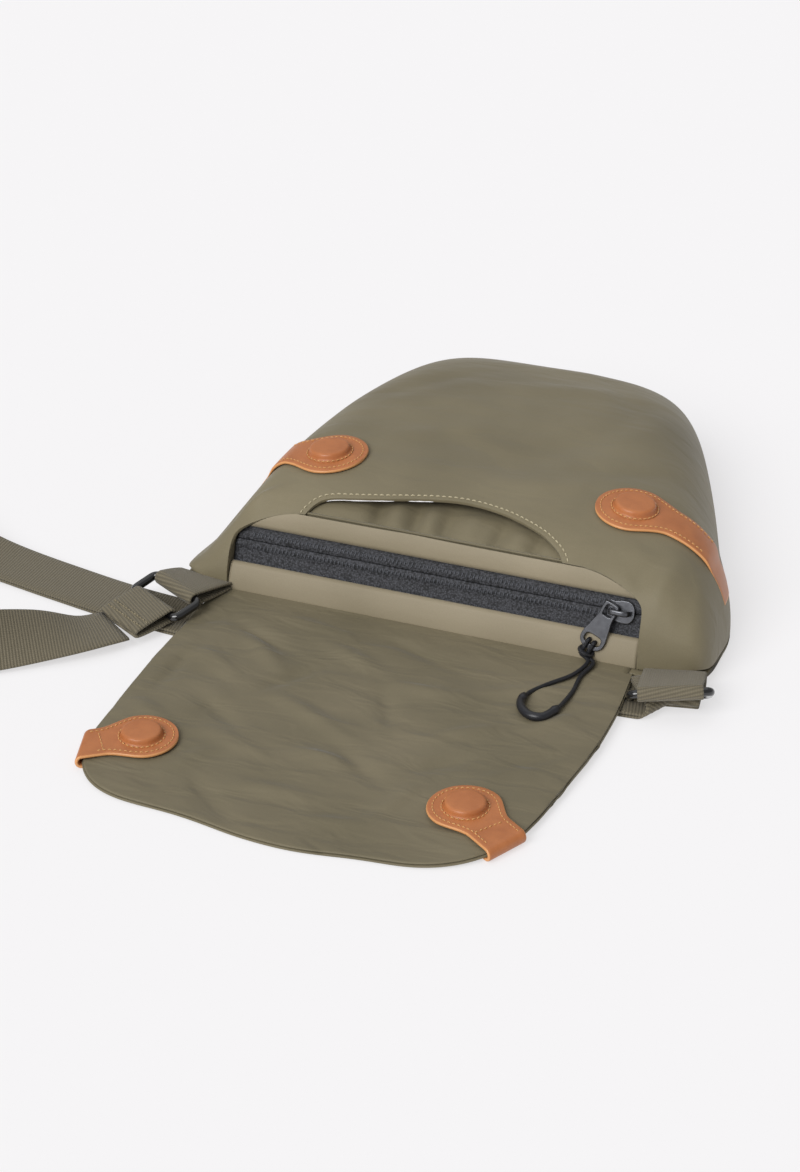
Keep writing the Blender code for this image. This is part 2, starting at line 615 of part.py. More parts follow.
loop_axis = empty("cord_swing_axis", Matrix.Translation(HINGE), pull_axis)
STRAND_START = HINGE.y - 0.5 * MM
left_route = [(82.4 * MM, STRAND_START, LIE + 1.0 * MM), (79.0 * MM, HINGE.y - 12 * MM, LIE + 0.3 * MM),
              (73.0 * MM, HINGE.y - 28 * MM, LIE), (67.6 * MM, HINGE.y - 40 * MM, LIE + 0.4 * MM),
              (66.4 * MM, HINGE.y - 44.5 * MM, GRIP_LIE)]
right_route = [(86.0 * MM, STRAND_START, LIE), (87.0 * MM, HINGE.y - 14 * MM, LIE),
               (87.2 * MM, HINGE.y - 30 * MM, LIE), (85.0 * MM, HINGE.y - 45 * MM, LIE + 0.4 * MM),
               (83.8 * MM, HINGE.y - 49.5 * MM, GRIP_LIE)]
for name, route in (("pull_cord_left", left_route), ("pull_cord_right", right_route)):
    wire(name, smooth_route(route, 12), CORD_RADIUS, CORD_BLACK, parent=loop_axis)
grip_points = ((66.3, 45), (66.3, 51), (70.5, 57), (77.0, 58), (82.0, 54.5), (83.7, 50))
grip_route = [(x * MM, HINGE.y - down * MM, GRIP_LIE) for x, down in grip_points]
wire("pull_cord_grip", smooth_route(grip_route, 14), GRIP_RADIUS, CORD_BLACK, parent=loop_axis)


# Flap

magnet_rest = dome_height(MAGNET_X, SEAM_Y + BODY_MAGNET_Y)
closed_height = magnet_rest + 2 * TAB_STACK + MAGNET_GAP
SPINE = (closed_height - HINGE.z) / math.sin(CLOSED_LIFT)
flap_magnet = SPINE * (1 + math.cos(CLOSED_LIFT)) + FLAP_OFFSET + BODY_MAGNET_Y
lift_axis = empty("flap_lift_axis", Matrix.Translation(HINGE))
fold_spot = HINGE - Vector((0, SPINE, 0))
fold_place = Matrix.Translation(fold_spot) @ Matrix.Rotation(PANEL_SLOPE, 4, "X")
fold_axis = empty("flap_fold_axis", fold_place, lift_axis)


def layer(name, outline, top, axis, material):
    """One cloth layer of the flap, its upper face at top below the fold line."""
    mesh = outline_mesh(name, [outline], FLAP_LAYER)
    middle = axis.matrix_world @ Matrix.Translation((0, 0, top - FLAP_LAYER / 2))
    return place(name, mesh, material, middle, axis)


spine_outline = rectangle(-SPINE_HALF_WIDTH, SPINE_HALF_WIDTH, -SPINE + FOLD_GAP / 2, -CLEAR)
EDGE_STEPS = 14
right_edge = [(SPINE_HALF_WIDTH, -FOLD_GAP / 2), (FLAP_HALF_WIDTH, SPINE - FLAP_STRAIGHT)]
for step in range(1, EDGE_STEPS):
    part = math.sin(math.pi / 2 * step / EDGE_STEPS)
    narrow = (1 - part ** FLAP_CORNER_POWERS[0]) ** (1 / FLAP_CORNER_POWERS[1])
    down = FLAP_STRAIGHT + part * (FLAP_LENGTH - FLAP_STRAIGHT)
    right_edge.append((FLAP_HALF_WIDTH * narrow, SPINE - down))
panel_outline = right_edge + [(0, SPINE - FLAP_LENGTH)] + [(-x, y) for x, y in reversed(right_edge)]
layer("flap_spine_lining", spine_outline, 0, lift_axis, OLIVE)
layer("flap_spine_outer", spine_outline, -FLAP_LAYER - CLEAR, lift_axis, OLIVE)
layer("flap_lining", panel_outline, 0, fold_axis, OLIVE)
layer("flap_outer", panel_outline, -FLAP_LAYER - CLEAR, fold_axis, OLIVE)


# Leather tabs and magnets


def tab_half_width(along):
    """A tab's half-width: a round head that narrows to a strap."""
    head = np.sqrt(np.maximum(TAB_HEAD**2 - along**2, 0))
    blend = np.clip(along / TAB_NECK, 0, 1)
    neck = TAB_HEAD + (TAB_HALF_WIDTH - TAB_HEAD) * blend * blend * (3 - 2 * blend)
    return np.where(along < 0, head, neck)


def tab_along(u, length):
    """Distance along a tab from its pod's centre, closer set round the head."""
    nose = TAB_HEAD * 0.98
    part = (u + 1) / 2
    return -nose + (nose + length) * (part + 0.35 * part * (part - 1))


def side_section(y, side):
    """The body's outer surface across its side at y: x, z, and the length along it from the pod."""
    edge = np.sin(np.linspace(0, 1, 200) * math.pi / 2) * 0.9995
    x, _, z = dome(side * edge, np.full_like(edge, y / (BODY_LENGTH / 2)))
    length = np.concatenate([[0], np.cumsum(np.hypot(np.diff(x), np.diff(z)))])
    return x, z, length - np.interp(MAGNET_X, np.abs(x), length)


def body_tab_shape(side):
    x, z, length = side_section(SEAM_Y + BODY_MAGNET_Y, side)
    end = np.interp(-BODY_TAB_END, -z, length)

    def shape(u, v):
        """A tab laid over the body's side, a clearance off it."""
        along = tab_along(u, end)
        y = SEAM_Y + BODY_MAGNET_Y + v * tab_half_width(along)
        spots = []
        for one_y, spot in zip(y, along):
            x, z, length = side_section(one_y, side)
            slope = np.array([np.interp(spot, length, np.gradient(k, length)) for k in (x, z)])
            slope = slope / np.linalg.norm(slope)
            spots.append((np.interp(spot, length, x) - side * slope[1] * TAB_SEAT,
                          np.interp(spot, length, z) + side * slope[0] * TAB_SEAT))
        return np.array([s[0] for s in spots]), y, np.array([s[1] for s in spots])
    return shape


def pod_mesh(name):
    """A leather cap, turned from its wall profile and open below for the magnet."""
    room, roof = POD_RADIUS - POD_WALL, POD_HEIGHT - POD_WALL
    profile = [(0, POD_HEIGHT), (POD_RADIUS * 0.72, POD_HEIGHT), (POD_RADIUS * 0.92, POD_HEIGHT * 0.82),
               (POD_RADIUS, POD_HEIGHT * 0.4), (POD_RADIUS, 0), (room, 0), (room, roof), (0, roof)]
    half_wall = bmesh.new()
    verts = [half_wall.verts.new((x, 0, z)) for x, z in profile]
    for a, b in zip(verts, verts[1:]):
        half_wall.edges.new((a, b))
    bmesh.ops.spin(half_wall, geom=half_wall.verts[:] + half_wall.edges[:], cent=(0, 0, 0), axis=(0, 0, 1),
                   angle=2 * math.pi, steps=20, use_merge=True)
    bmesh.ops.remove_doubles(half_wall, verts=half_wall.verts, dist=1e-6)
    bmesh.ops.recalc_face_normals(half_wall, faces=half_wall.faces)
    mesh = bpy.data.meshes.new(name)
    half_wall.to_mesh(mesh)
    half_wall.free()
    mesh.shade_smooth()
    return mesh


def magnet_mesh(name):
    disc_shape = bmesh.new()
    bmesh.ops.create_cone(disc_shape, cap_ends=True, segments=20, radius1=MAGNET_RADIUS,
                          radius2=MAGNET_RADIUS, depth=MAGNET_THICK)
    mesh = bpy.data.meshes.new(name)
    disc_shape.to_mesh(mesh)
    disc_shape.free()
    return mesh


def pod_and_magnet(where, matrix, parent=None):
    """A leather pod on a tab's face, which is matrix's own XY plane, with its magnet inside."""
    foot = matrix @ Matrix.Translation((0, 0, CLEAR))
    place(f"{where}_pod", pod_mesh(f"{where}_pod"), LEATHER, foot, parent)
    middle = Matrix.Translation((0, 0, CLEAR + MAGNET_THICK / 2))
    place(f"{where}_magnet", magnet_mesh(f"{where}_magnet"), STEEL, matrix @ middle, parent)


for where, side in (("body_left", -1), ("body_right", 1)):
    tab = place(f"{where}_tab", surface(f"{where}_tab", 22, 6, body_tab_shape(side)), LEATHER)
    thicken(tab, TAB, 1 if side > 0 else -1)
    pod_y = SEAM_Y + BODY_MAGNET_Y
    step_x = 8 * MM
    inner_z, outer_z = (dome_height(side * (MAGNET_X + d), pod_y) for d in (-step_x, step_x))
    near_z, far_z = (dome_height(side * MAGNET_X, pod_y + d) for d in (-step_x, step_x))
    level = dome_height(side * MAGNET_X, pod_y)
    normal = Vector((-side * (outer_z - inner_z), -(far_z - near_z), 2 * step_x)).normalized()
    tilt = Vector((0, 0, 1)).rotation_difference(normal).to_matrix().to_4x4()
    seat = Matrix.Translation((side * MAGNET_X, pod_y, level)) @ tilt
    seat = seat @ Matrix.Translation((0, 0, TAB_SEAT + TAB))
    pod_and_magnet(where, seat)

flap_under = -FLAP_THICK
turn_radius = FLAP_THICK / 2 + CLEAR


def flap_edge_distance(across):
    """Distance along a flap tab from its pod's centre to the flap's edge, across from its middle line."""
    low, high = 0.0, FLAP_HALF_WIDTH
    for _ in range(40):
        middle = (low + high) / 2
        x = MAGNET_X + middle * math.cos(FLAP_TAB_ANGLE) + across * math.sin(FLAP_TAB_ANGLE)
        y = flap_magnet + middle * math.sin(FLAP_TAB_ANGLE) - across * math.cos(FLAP_TAB_ANGLE)
        part = max(0.0, (y - FLAP_STRAIGHT) / (FLAP_LENGTH - FLAP_STRAIGHT))
        edge = FLAP_HALF_WIDTH * max(0.0, 1 - part ** FLAP_CORNER_POWERS[0]) ** (1 / FLAP_CORNER_POWERS[1])
        low, high = (middle, high) if x < edge else (low, middle)
    return low


tab_edge = max(flap_edge_distance(share * TAB_HALF_WIDTH) for share in (-1, -0.5, 0, 0.5, 1))


def flap_tab_shape(side):
    def shape(u, v):
        """A tab along the flap's inner side, round its edge and back along its outer side."""
        along = tab_along(u, tab_edge + math.pi * turn_radius + FLAP_TAB_UNDER)
        across = v * np.minimum(tab_half_width(along), TAB_HEAD)
        bend = np.clip((along - tab_edge - CLEAR) / turn_radius, 0, math.pi)
        past = np.maximum(along - tab_edge - CLEAR - math.pi * turn_radius, 0)
        out = np.minimum(along, tab_edge + CLEAR) + turn_radius * np.sin(bend) - past
        z = flap_under / 2 + turn_radius * np.cos(bend)
        x = MAGNET_X + out * math.cos(FLAP_TAB_ANGLE) + across * math.sin(FLAP_TAB_ANGLE)
        y = SPINE - flap_magnet - out * math.sin(FLAP_TAB_ANGLE) + across * math.cos(FLAP_TAB_ANGLE)
        return side * x, y, z
    return shape


for where, side in (("flap_left", -1), ("flap_right", 1)):
    mesh = surface(f"{where}_tab", 34, 6, flap_tab_shape(side))
    tab = place(f"{where}_tab", mesh, LEATHER, fold_axis.matrix_world, fold_axis)
    thicken(tab, TAB, 1 if side > 0 else -1)
    seat = fold_axis.matrix_world @ Matrix.Translation((side * MAGNET_X, SPINE - flap_magnet, CLEAR + TAB))
    pod_and_magnet(where, seat, fold_axis)


# Webbing loops, rings and strap


def at_seam(x, y, z):
    """A point given in millimetres from the middle of the flap's seam."""
    return Vector((x * MM, SEAM_Y + y * MM, z * MM))


def web_loop(name, bar, bar_dir, root, root_dir, parent=None):
    """A webbing loop: out from its sewn root, round a bar, and back; both ends meet at the root."""
    wrap = RING_WIRE + CLEAR
    outward = bar - root
    outward = (outward - bar_dir * outward.dot(bar_dir)).normalized()
    up = bar_dir.cross(outward).normalized()
    level_up = up.z > 0
    up = up if level_up else -up

    def shape(u, v):
        """The middle part of u turns round the bar; the outer parts are the two straight runs."""
        bend = np.clip((u + LOOP_TURN) / (2 * LOOP_TURN), 0, 1) * math.pi
        share = np.clip((1 - np.abs(u)) / (1 - LOOP_TURN), 0, 1)
        lift = (CLEAR / 2 + (wrap - CLEAR / 2) * share**LOOP_FULLNESS) * np.cos(bend)
        reach_out = wrap * np.sin(bend)
        width = v * WEBBING / 2
        spots = []
        for k in range(3):
            middle = root[k] + (bar[k] - root[k]) * share
            side_way = root_dir[k] * (1 - share) + bar_dir[k] * share
            spots.append(middle + side_way * width + up[k] * lift + outward[k] * reach_out)
        return spots

    mesh = surface(name, LOOP_COLUMNS, 3, shape)
    if parent:
        mesh.transform(parent.matrix_world.inverted())
    loop = place(name, mesh, WEB_OLIVE, parent.matrix_world if parent else None, parent)
    thicken(loop, WEBBING_THICK, -1 if level_up else 1)


def ring(name, bar_a, bar_b, bar_dir, parent):
    """A rectangular wire ring between two parallel bars."""
    long_way = (bar_b - bar_a).normalized()
    half_long = RING_INSIDE[1] / 2 + RING_WIRE
    half_wide = RING_INSIDE[0] / 2 + RING_WIRE
    middle = (bar_a + bar_b) / 2
    loop = rounded(-half_wide, half_wide, -half_long, half_long, RING_CORNER, 4)
    wire(name, [middle + bar_dir * x + long_way * y for x, y in loop], RING_WIRE, GLOSS_BLACK, True, parent)


def turned(degrees):
    """A level direction, turned about +Z from +X."""
    return Vector((math.cos(math.radians(degrees)), math.sin(math.radians(degrees)), 0))


LEFT_BAR_DIR = turned(-30)
RIGHT_BAR_DIR = turned(14)
SPAN = RING_INSIDE[1] + 2 * RING_WIRE
LEFT_DIP = math.radians(15.5)
RIGHT_DIP = math.radians(33.2)


def far_bar(bar, heading, dip):
    """The middle of a ring's other bar, SPAN away along a level heading and then dipped."""
    return bar + (heading * math.cos(dip) - Vector((0, 0, math.sin(dip)))) * SPAN


left_bar = at_seam(-121.5, -17.5, 12.5)
left_far_bar = far_bar(left_bar, turned(-120), LEFT_DIP)
right_bar = at_seam(128.5, -26.5, 12.4)
right_far_bar = far_bar(right_bar, turned(104), RIGHT_DIP)

left_axis = empty("ring_left_axis", Matrix.Translation(left_bar))
right_axis = empty("ring_right_axis", Matrix.Translation(right_bar))
ring("ring_left", left_bar, left_far_bar, LEFT_BAR_DIR, left_axis)
ring("ring_right", right_bar, right_far_bar, RIGHT_BAR_DIR, right_axis)

loops = (("strap_loop_left", left_bar, LEFT_BAR_DIR, at_seam(-117, -0.3, 10.4), turned(-8), None),
         ("strap_loop_right", right_bar, RIGHT_BAR_DIR, at_seam(123, -0.3, 11.6), turned(0), None),
         ("strap_end_left", left_far_bar, LEFT_BAR_DIR, at_seam(-138, -49, 6.1), LEFT_BAR_DIR, left_axis),
         ("strap_end_right", right_far_bar, RIGHT_BAR_DIR, at_seam(126, -23, 2.6), turned(8), right_axis))
for name, bar, bar_dir, root, root_dir, parent in loops:
    web_loop(name, bar, bar_dir, root, root_dir, parent)


def web_run(name, route, lift):
    """A flat run of webbing along points (x, y, z, tilt), raised by lift along its own normal."""
    path = np.array(route)
    ahead = np.gradient(path[:, :3], axis=0)
    ahead = ahead / np.linalg.norm(ahead, axis=1)[:, None]
    level = np.stack([-ahead[:, 1], ahead[:, 0], np.zeros(len(path))], axis=1)
    level = level / np.linalg.norm(level, axis=1)[:, None]
    tilt = np.radians(path[:, 3])[:, None]
    wide = level * np.cos(tilt) + np.array([0, 0, 1]) * np.sin(tilt)
    normal = np.cross(ahead, wide)
    middle = path[:, :3] + normal * np.array(lift)[:, None]

    def shape(u, v):
        spot = (u + 1) / 2 * (len(path) - 1)
        index = np.arange(len(path))
        spots = [np.interp(spot, index, middle[:, k]) for k in range(3)]
        return [s + v * WEBBING / 2 * np.interp(spot, index, wide[:, k]) for k, s in enumerate(spots)]

    thicken(place(name, surface(name, len(path) - 1, 2, shape), WEB_OLIVE), WEBBING_THICK, 0)


FLAT = STRAP_FLOOR + WEBBING_THICK + CLEAR / 2
single_keys = [(-352, -66, 20.2, 90), (-352, -80, 20.2, 90), (-348, -98, 20.2, 90), (-332, -126, 20.2, 90),
               (-300, -147, 20, 90), (-260, -148, 18.5, 90), (-222, -131, 16.8, 86), (-190, -106, 14.6, 58),
               (-164, -79, 10.4, 26), (-148.5, -63, 7, 4), (-139.4, -51.4, 6.2, 0)]
double_keys = [(-352, -66, 20.2, 90), (-352, -52, 20.2, 90), (-348, -35, 20.2, 90), (-332, -12, 18, 88),
               (-304, -1, 14.8, 55), (-268, -1.5, 8.6, 20), (-228, -8, 3.4, 3), (-180, -17, FLAT / MM, 0),
               (-140, -24, FLAT / MM, 0), (-90, -27.5, FLAT / MM, 0), (-30, -28, FLAT / MM, 0),
               (30, -25.5, FLAT / MM, 0), (80, -20, FLAT / MM, 0), (105.8, -17.6, FLAT / MM, 0)]


def strap_route(keys, count):
    """Even points along a strap route whose keys are millimetres from the seam's middle and a tilt."""
    spots = [(*at_seam(x, y, z), tilt) for x, y, z, tilt in keys]
    return smooth_route(spots, count, ADJUSTER_CROWD)


def weave(route, pattern):
    """How far a run leaves its route along its normal near the adjuster, from distances and heights."""
    along = np.concatenate([[0], np.cumsum(np.linalg.norm(np.diff(route[:, :3], axis=0), axis=1))])
    return np.interp(along, [d for d, _ in pattern], [h for _, h in pattern])


OVER = GLIDE_THICK / 2 + CLEAR + WEBBING_THICK / 2
LAYER = WEBBING_THICK + CLEAR
bar_to_bar = (GLIDE_LENGTH - GLIDE_BAR) / 2
slot_end = bar_to_bar - GLIDE_BAR / 2
frame_end = bar_to_bar + GLIDE_BAR / 2 + CLEAR
through = [(0, OVER), (GLIDE_BAR / 2, OVER), (slot_end, -OVER), (frame_end, -OVER)]
PAST = 45 * MM
single_route = strap_route(single_keys, 36)
double_route = strap_route(double_keys, 50)
mirrored = [(d, -h) for d, h in through]
web_run("strap_single_run", single_route[1:], weave(single_route, mirrored + [(PAST, 0)])[1:])
web_run("strap_upper_run", double_route[1:], weave(double_route, through + [(PAST, LAYER / 2)])[1:])
under = [(0, -OVER), (slot_end, -OVER - LAYER), (frame_end, -OVER - LAYER), (PAST, -LAYER / 2)]
web_run("strap_return_run", double_route, weave(double_route, under))

FOLD_TOP = 4.6 * MM
fold_spots = ((107.8, -32.5), (118.5, -32.5), (121, -27.3), (107.8, -27.3))
fold_outline = [at_seam(*spot, 0).xy for spot in fold_spots]
fold_mesh = outline_mesh("strap_fold", [fold_outline], FOLD_TOP - STRAP_FLOOR)
place("strap_fold", fold_mesh, WEB_OLIVE, Matrix.Translation((0, 0, (FOLD_TOP + STRAP_FLOOR) / 2)))

# Adjuster: a flat frame with a bar across its middle, standing on edge with the strap
glide_spot = Vector(double_route[0, :3])
glide_ahead = Vector(double_route[1, :3] - double_route[0, :3]).normalized()
glide_up = Vector((0, 0, 1))
glide_face = glide_ahead.cross(glide_up)
glide_turn = Matrix((glide_ahead, glide_up, glide_face)).transposed().to_4x4()
glide_place = Matrix.Translation(glide_spot) @ glide_turn
frame_outline = rounded(-GLIDE_LENGTH / 2, GLIDE_LENGTH / 2, -GLIDE_HEIGHT / 2, GLIDE_HEIGHT / 2, 3 * MM, 4)
slots = []
for side in (-1, 1):
    ends = sorted((side * GLIDE_BAR / 2, side * (GLIDE_LENGTH / 2 - GLIDE_BAR)))
    slots.append(rounded(*ends, -GLIDE_SLOT / 2, GLIDE_SLOT / 2, 1 * MM, 2))
glide_mesh = outline_mesh("strap_adjuster", [frame_outline, *slots], GLIDE_THICK)
place("strap_adjuster", glide_mesh, GLOSS_BLACK, glide_place)
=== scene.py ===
"""A crossbody purse of olive coated cloth on its back, flap open: the finish of every surface.

Lengths are millimetres until a mesh is made. +Y runs from the zipped top to the rounded bottom.
"""

import math

import bpy
import numpy as np
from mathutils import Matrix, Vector


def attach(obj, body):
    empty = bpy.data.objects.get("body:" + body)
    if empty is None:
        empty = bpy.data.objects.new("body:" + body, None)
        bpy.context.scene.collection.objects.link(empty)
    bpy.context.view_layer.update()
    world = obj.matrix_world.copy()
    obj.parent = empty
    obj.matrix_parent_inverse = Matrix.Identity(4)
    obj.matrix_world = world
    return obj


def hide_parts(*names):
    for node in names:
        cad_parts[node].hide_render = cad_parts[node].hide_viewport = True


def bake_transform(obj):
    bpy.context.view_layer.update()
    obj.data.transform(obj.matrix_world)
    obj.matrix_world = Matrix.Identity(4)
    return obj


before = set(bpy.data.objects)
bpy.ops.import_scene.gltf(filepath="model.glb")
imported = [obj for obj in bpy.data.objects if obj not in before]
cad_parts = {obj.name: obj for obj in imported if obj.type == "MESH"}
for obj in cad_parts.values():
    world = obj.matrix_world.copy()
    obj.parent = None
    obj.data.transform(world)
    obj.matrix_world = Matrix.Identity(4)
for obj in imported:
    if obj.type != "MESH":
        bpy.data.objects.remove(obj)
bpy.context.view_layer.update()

# The studio: a pale sweep of floor, a broad soft lamp in front and to the left, and a weaker one overhead.
# The camera looks down on the open flap from its near side, as the photograph does.


def linear(code):
    """An sRGB hex colour as linear red, green, blue and alpha."""
    srgb = np.array([int(code[k : k + 2], 16) for k in (1, 3, 5)]) / 255
    curve = np.where(srgb <= 0.04045, srgb / 12.92, ((srgb + 0.055) / 1.055) ** 2.4)
    return (*curve.tolist(), 1.0)


def add(tree, kind, inputs=(), **settings):
    """Add a node with its settings; inputs give each socket a value or another node's output."""
    made = tree.nodes.new(kind)
    for name, value in settings.items():
        setattr(made, name, value)
    for key, value in dict(inputs).items():
        if isinstance(value, bpy.types.NodeSocket):
            tree.links.new(value, made.inputs[key])
        else:
            made.inputs[key].default_value = value
    return made


CAMERA_AZIMUTH = math.radians(21.8)
CAMERA_ELEVATION = math.radians(29)
CAMERA_DISTANCE = 1.470
CAMERA_TARGET = Vector((-0.0315, -0.081, 0))
toward = Vector((math.sin(CAMERA_AZIMUTH) * math.cos(CAMERA_ELEVATION),
                 -math.cos(CAMERA_AZIMUTH) * math.cos(CAMERA_ELEVATION), math.sin(CAMERA_ELEVATION)))
camera = bpy.data.objects.new("camera", bpy.data.cameras.new("camera"))
camera.location = CAMERA_TARGET + toward * CAMERA_DISTANCE
camera.rotation_euler = toward.to_track_quat("Z", "Y").to_euler()
camera.data.lens = 92.15
camera.data.sensor_width = 36
bpy.context.scene.collection.objects.link(camera)
bpy.context.scene.camera = camera
bpy.context.scene.view_settings.view_transform = "Standard"

PAPER = "#f4f3f4"
world = bpy.data.worlds.new("studio")
world.use_nodes = True
bpy.context.scene.world = world
sky = world.node_tree
sky.nodes.clear()
path = add(sky, "ShaderNodeLightPath")
seen = add(
    sky, "ShaderNodeMath", {0: path.outputs["Is Camera Ray"], 1: path.outputs["Is Transmission Ray"]},
    operation="MAXIMUM"
)
ambient = add(sky, "ShaderNodeBackground", {"Color": linear("#f4f4f4"), "Strength": 0.42})
paper = add(sky, "ShaderNodeBackground", {"Color": linear(PAPER), "Strength": 1.0})
either = add(sky, "ShaderNodeMixShader", {0: seen.outputs[0], 1: ambient.outputs[0], 2: paper.outputs[0]})
add(sky, "ShaderNodeOutputWorld", {"Surface": either.outputs[0]})

sweep = bpy.data.materials.new("studio_paper")
sweep.use_nodes = True
for socket, value in (("Base Color", linear("#9b9a9b")), ("Roughness", 0.95), ("Specular IOR Level", 0.1),
                      ("Emission Color", linear(PAPER)), ("Emission Strength", 0.66)):
    sweep.node_tree.nodes["Principled BSDF"].inputs[socket].default_value = value
floor_mesh = bpy.data.meshes.new("floor")
FLOOR_HALF = 14.0
floor_signs = ((-1, -1), (1, -1), (1, 1), (-1, 1))
floor_corners = [(x * FLOOR_HALF, y * FLOOR_HALF, 0) for x, y in floor_signs]
floor_mesh.from_pydata(floor_corners, [], [(0, 1, 2, 3)])
floor_mesh.materials.append(sweep)
floor = bpy.data.objects.new("floor", floor_mesh)
bpy.context.scene.collection.objects.link(floor)

for name, spot, strength, spread in (
    ("key", (-0.24, -0.8, 0.62), 2.4, 38), ("overhead", (-0.3, 0.5, 1.7), 0.5, 70)
):
    lamp = bpy.data.lights.new(name, "SUN")
    lamp.energy = strength
    lamp.angle = math.radians(spread)
    holder = bpy.data.objects.new(name, lamp)
    holder.location = spot
    holder.rotation_euler = Vector(spot).to_track_quat("Z", "Y").to_euler()
    bpy.context.scene.collection.objects.link(holder)

# Strap: one length of 30 mm woven nylon webbing. It is sewn to the left ring, runs through the adjuster
# to the right ring, and comes back to be sewn on the adjuster's bar, so half of it lies doubled.

MM = 0.001
SEAM_Y = -126.0
WEBBING = 30.0
WEBBING_THICK = 1.4


def shader_for(name, roughness, colour=None):
    """A new material and its tree and Principled shader."""
    made = bpy.data.materials.new(name)
    made.use_nodes = True
    shader = made.node_tree.nodes["Principled BSDF"]
    shader.inputs["Roughness"].default_value = roughness
    if colour:
        shader.inputs["Base Color"].default_value = linear(colour)
    return made, made.node_tree, shader


def number(tree, operation, *values):
    """The output of a Math node."""
    return add(tree, "ShaderNodeMath", dict(enumerate(values)), operation=operation).outputs[0]


def ranged(tree, value, low, high, to_low=0.0, to_high=1.0):
    """A value moved from one range to another, and kept inside it."""
    limits = {"From Min": low, "From Max": high, "To Min": to_low, "To Max": to_high}
    return add(tree, "ShaderNodeMapRange", {"Value": value, **limits}).outputs[0]


def blots(tree, size, detail, roughness=0.5):
    """Noise with blots of about so many millimetres."""
    place = add(tree, "ShaderNodeTexCoord")
    looks = {"Scale": 1 / size / MM, "Detail": detail, "Roughness": roughness}
    return add(tree, "ShaderNodeTexNoise", {"Vector": place.outputs["Object"], **looks}).outputs[0]


def laid_flat(tree):
    """The distances along and across a piece laid flat, in metres."""
    flat = add(tree, "ShaderNodeUVMap", uv_map="laid_flat")
    parts = add(tree, "ShaderNodeSeparateXYZ", {0: flat.outputs[0]})
    return parts.outputs[0], parts.outputs[1]


def between(tree, share, dark, pale):
    """A colour between two tones, by a share from 0 to 1. The first may come from another node."""
    first = linear(dark) if isinstance(dark, str) else dark
    made = add(tree, "ShaderNodeMix", {"Factor": share, "A": first, "B": linear(pale)}, data_type="RGBA")
    return made.outputs["Result"]


def paint(tree, shader, share, dark, pale):
    """Colour a shader between two tones."""
    tree.links.new(between(tree, share, dark, pale), shader.inputs["Base Color"])


def emboss(tree, shader, height, strength, depth, over=None, invert=False):
    """Raise or sink a shader's surface by a height, to a depth in millimetres, over another bump if given."""
    inputs = {"Height": height, "Strength": strength, "Distance": depth * MM}
    if over is not None:
        inputs["Normal"] = over
    made = add(tree, "ShaderNodeBump", inputs, invert=invert)
    tree.links.new(made.outputs[0], shader.inputs["Normal"])


def fit(made, body, slot, *nodes):
    """Fix a piece to its body, in place of the CAD nodes it shows. The slot is not used."""
    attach(made, body)
    if nodes:
        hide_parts(*nodes)


def eased(value):
    """0 below 0, 1 above 1, and a smooth step between."""
    part = np.clip(value, 0, 1)
    return part * part * (3 - 2 * part)


def put(name, points, faces, material, uv=None, rim=None):
    """A mesh object at the origin from points in millimetres; uv is in millimetres too, rim is 0 to 1."""
    mesh = bpy.data.meshes.new(name)
    mesh.from_pydata(
        (np.asarray(points, dtype=float).reshape(-1, 3) * MM).tolist(), [], [list(f) for f in faces]
    )
    mesh.shade_smooth()
    mesh.materials.append(material)
    corner = np.empty(len(mesh.loops), dtype=np.int32)
    mesh.loops.foreach_get("vertex_index", corner)
    if uv is not None:
        layer = mesh.uv_layers.new(name="laid_flat")
        layer.data.foreach_set("uv", (np.asarray(uv).reshape(-1, 2)[corner] * MM).ravel())
    if rim is not None:
        mesh.attributes.new("rim", "FLOAT", "POINT").data.foreach_set(
            "value", np.asarray(rim, dtype=float).ravel()
        )
    mesh.validate()
    made = bpy.data.objects.new(name, mesh)
    bpy.context.scene.collection.objects.link(made)
    return made


def quads(rows, columns, round_rows=False, round_columns=False):
    """Corner numbers of a grid's faces, joined end to start where it is round."""
    r, c = np.meshgrid(
        np.arange(rows - (not round_rows)), np.arange(columns - (not round_columns)), indexing="ij"
    )
    r2, c2 = (r + 1) % rows, (c + 1) % columns
    return np.stack(
        [r * columns + c, r2 * columns + c, r2 * columns + c2, r * columns + c2], axis=-1
    ).reshape(-1, 4)


def unit(vectors):
    """Vectors of length 1."""
    return vectors / np.maximum(np.linalg.norm(vectors, axis=-1, keepdims=True), 1e-9)


EDGE_ROUND = 3


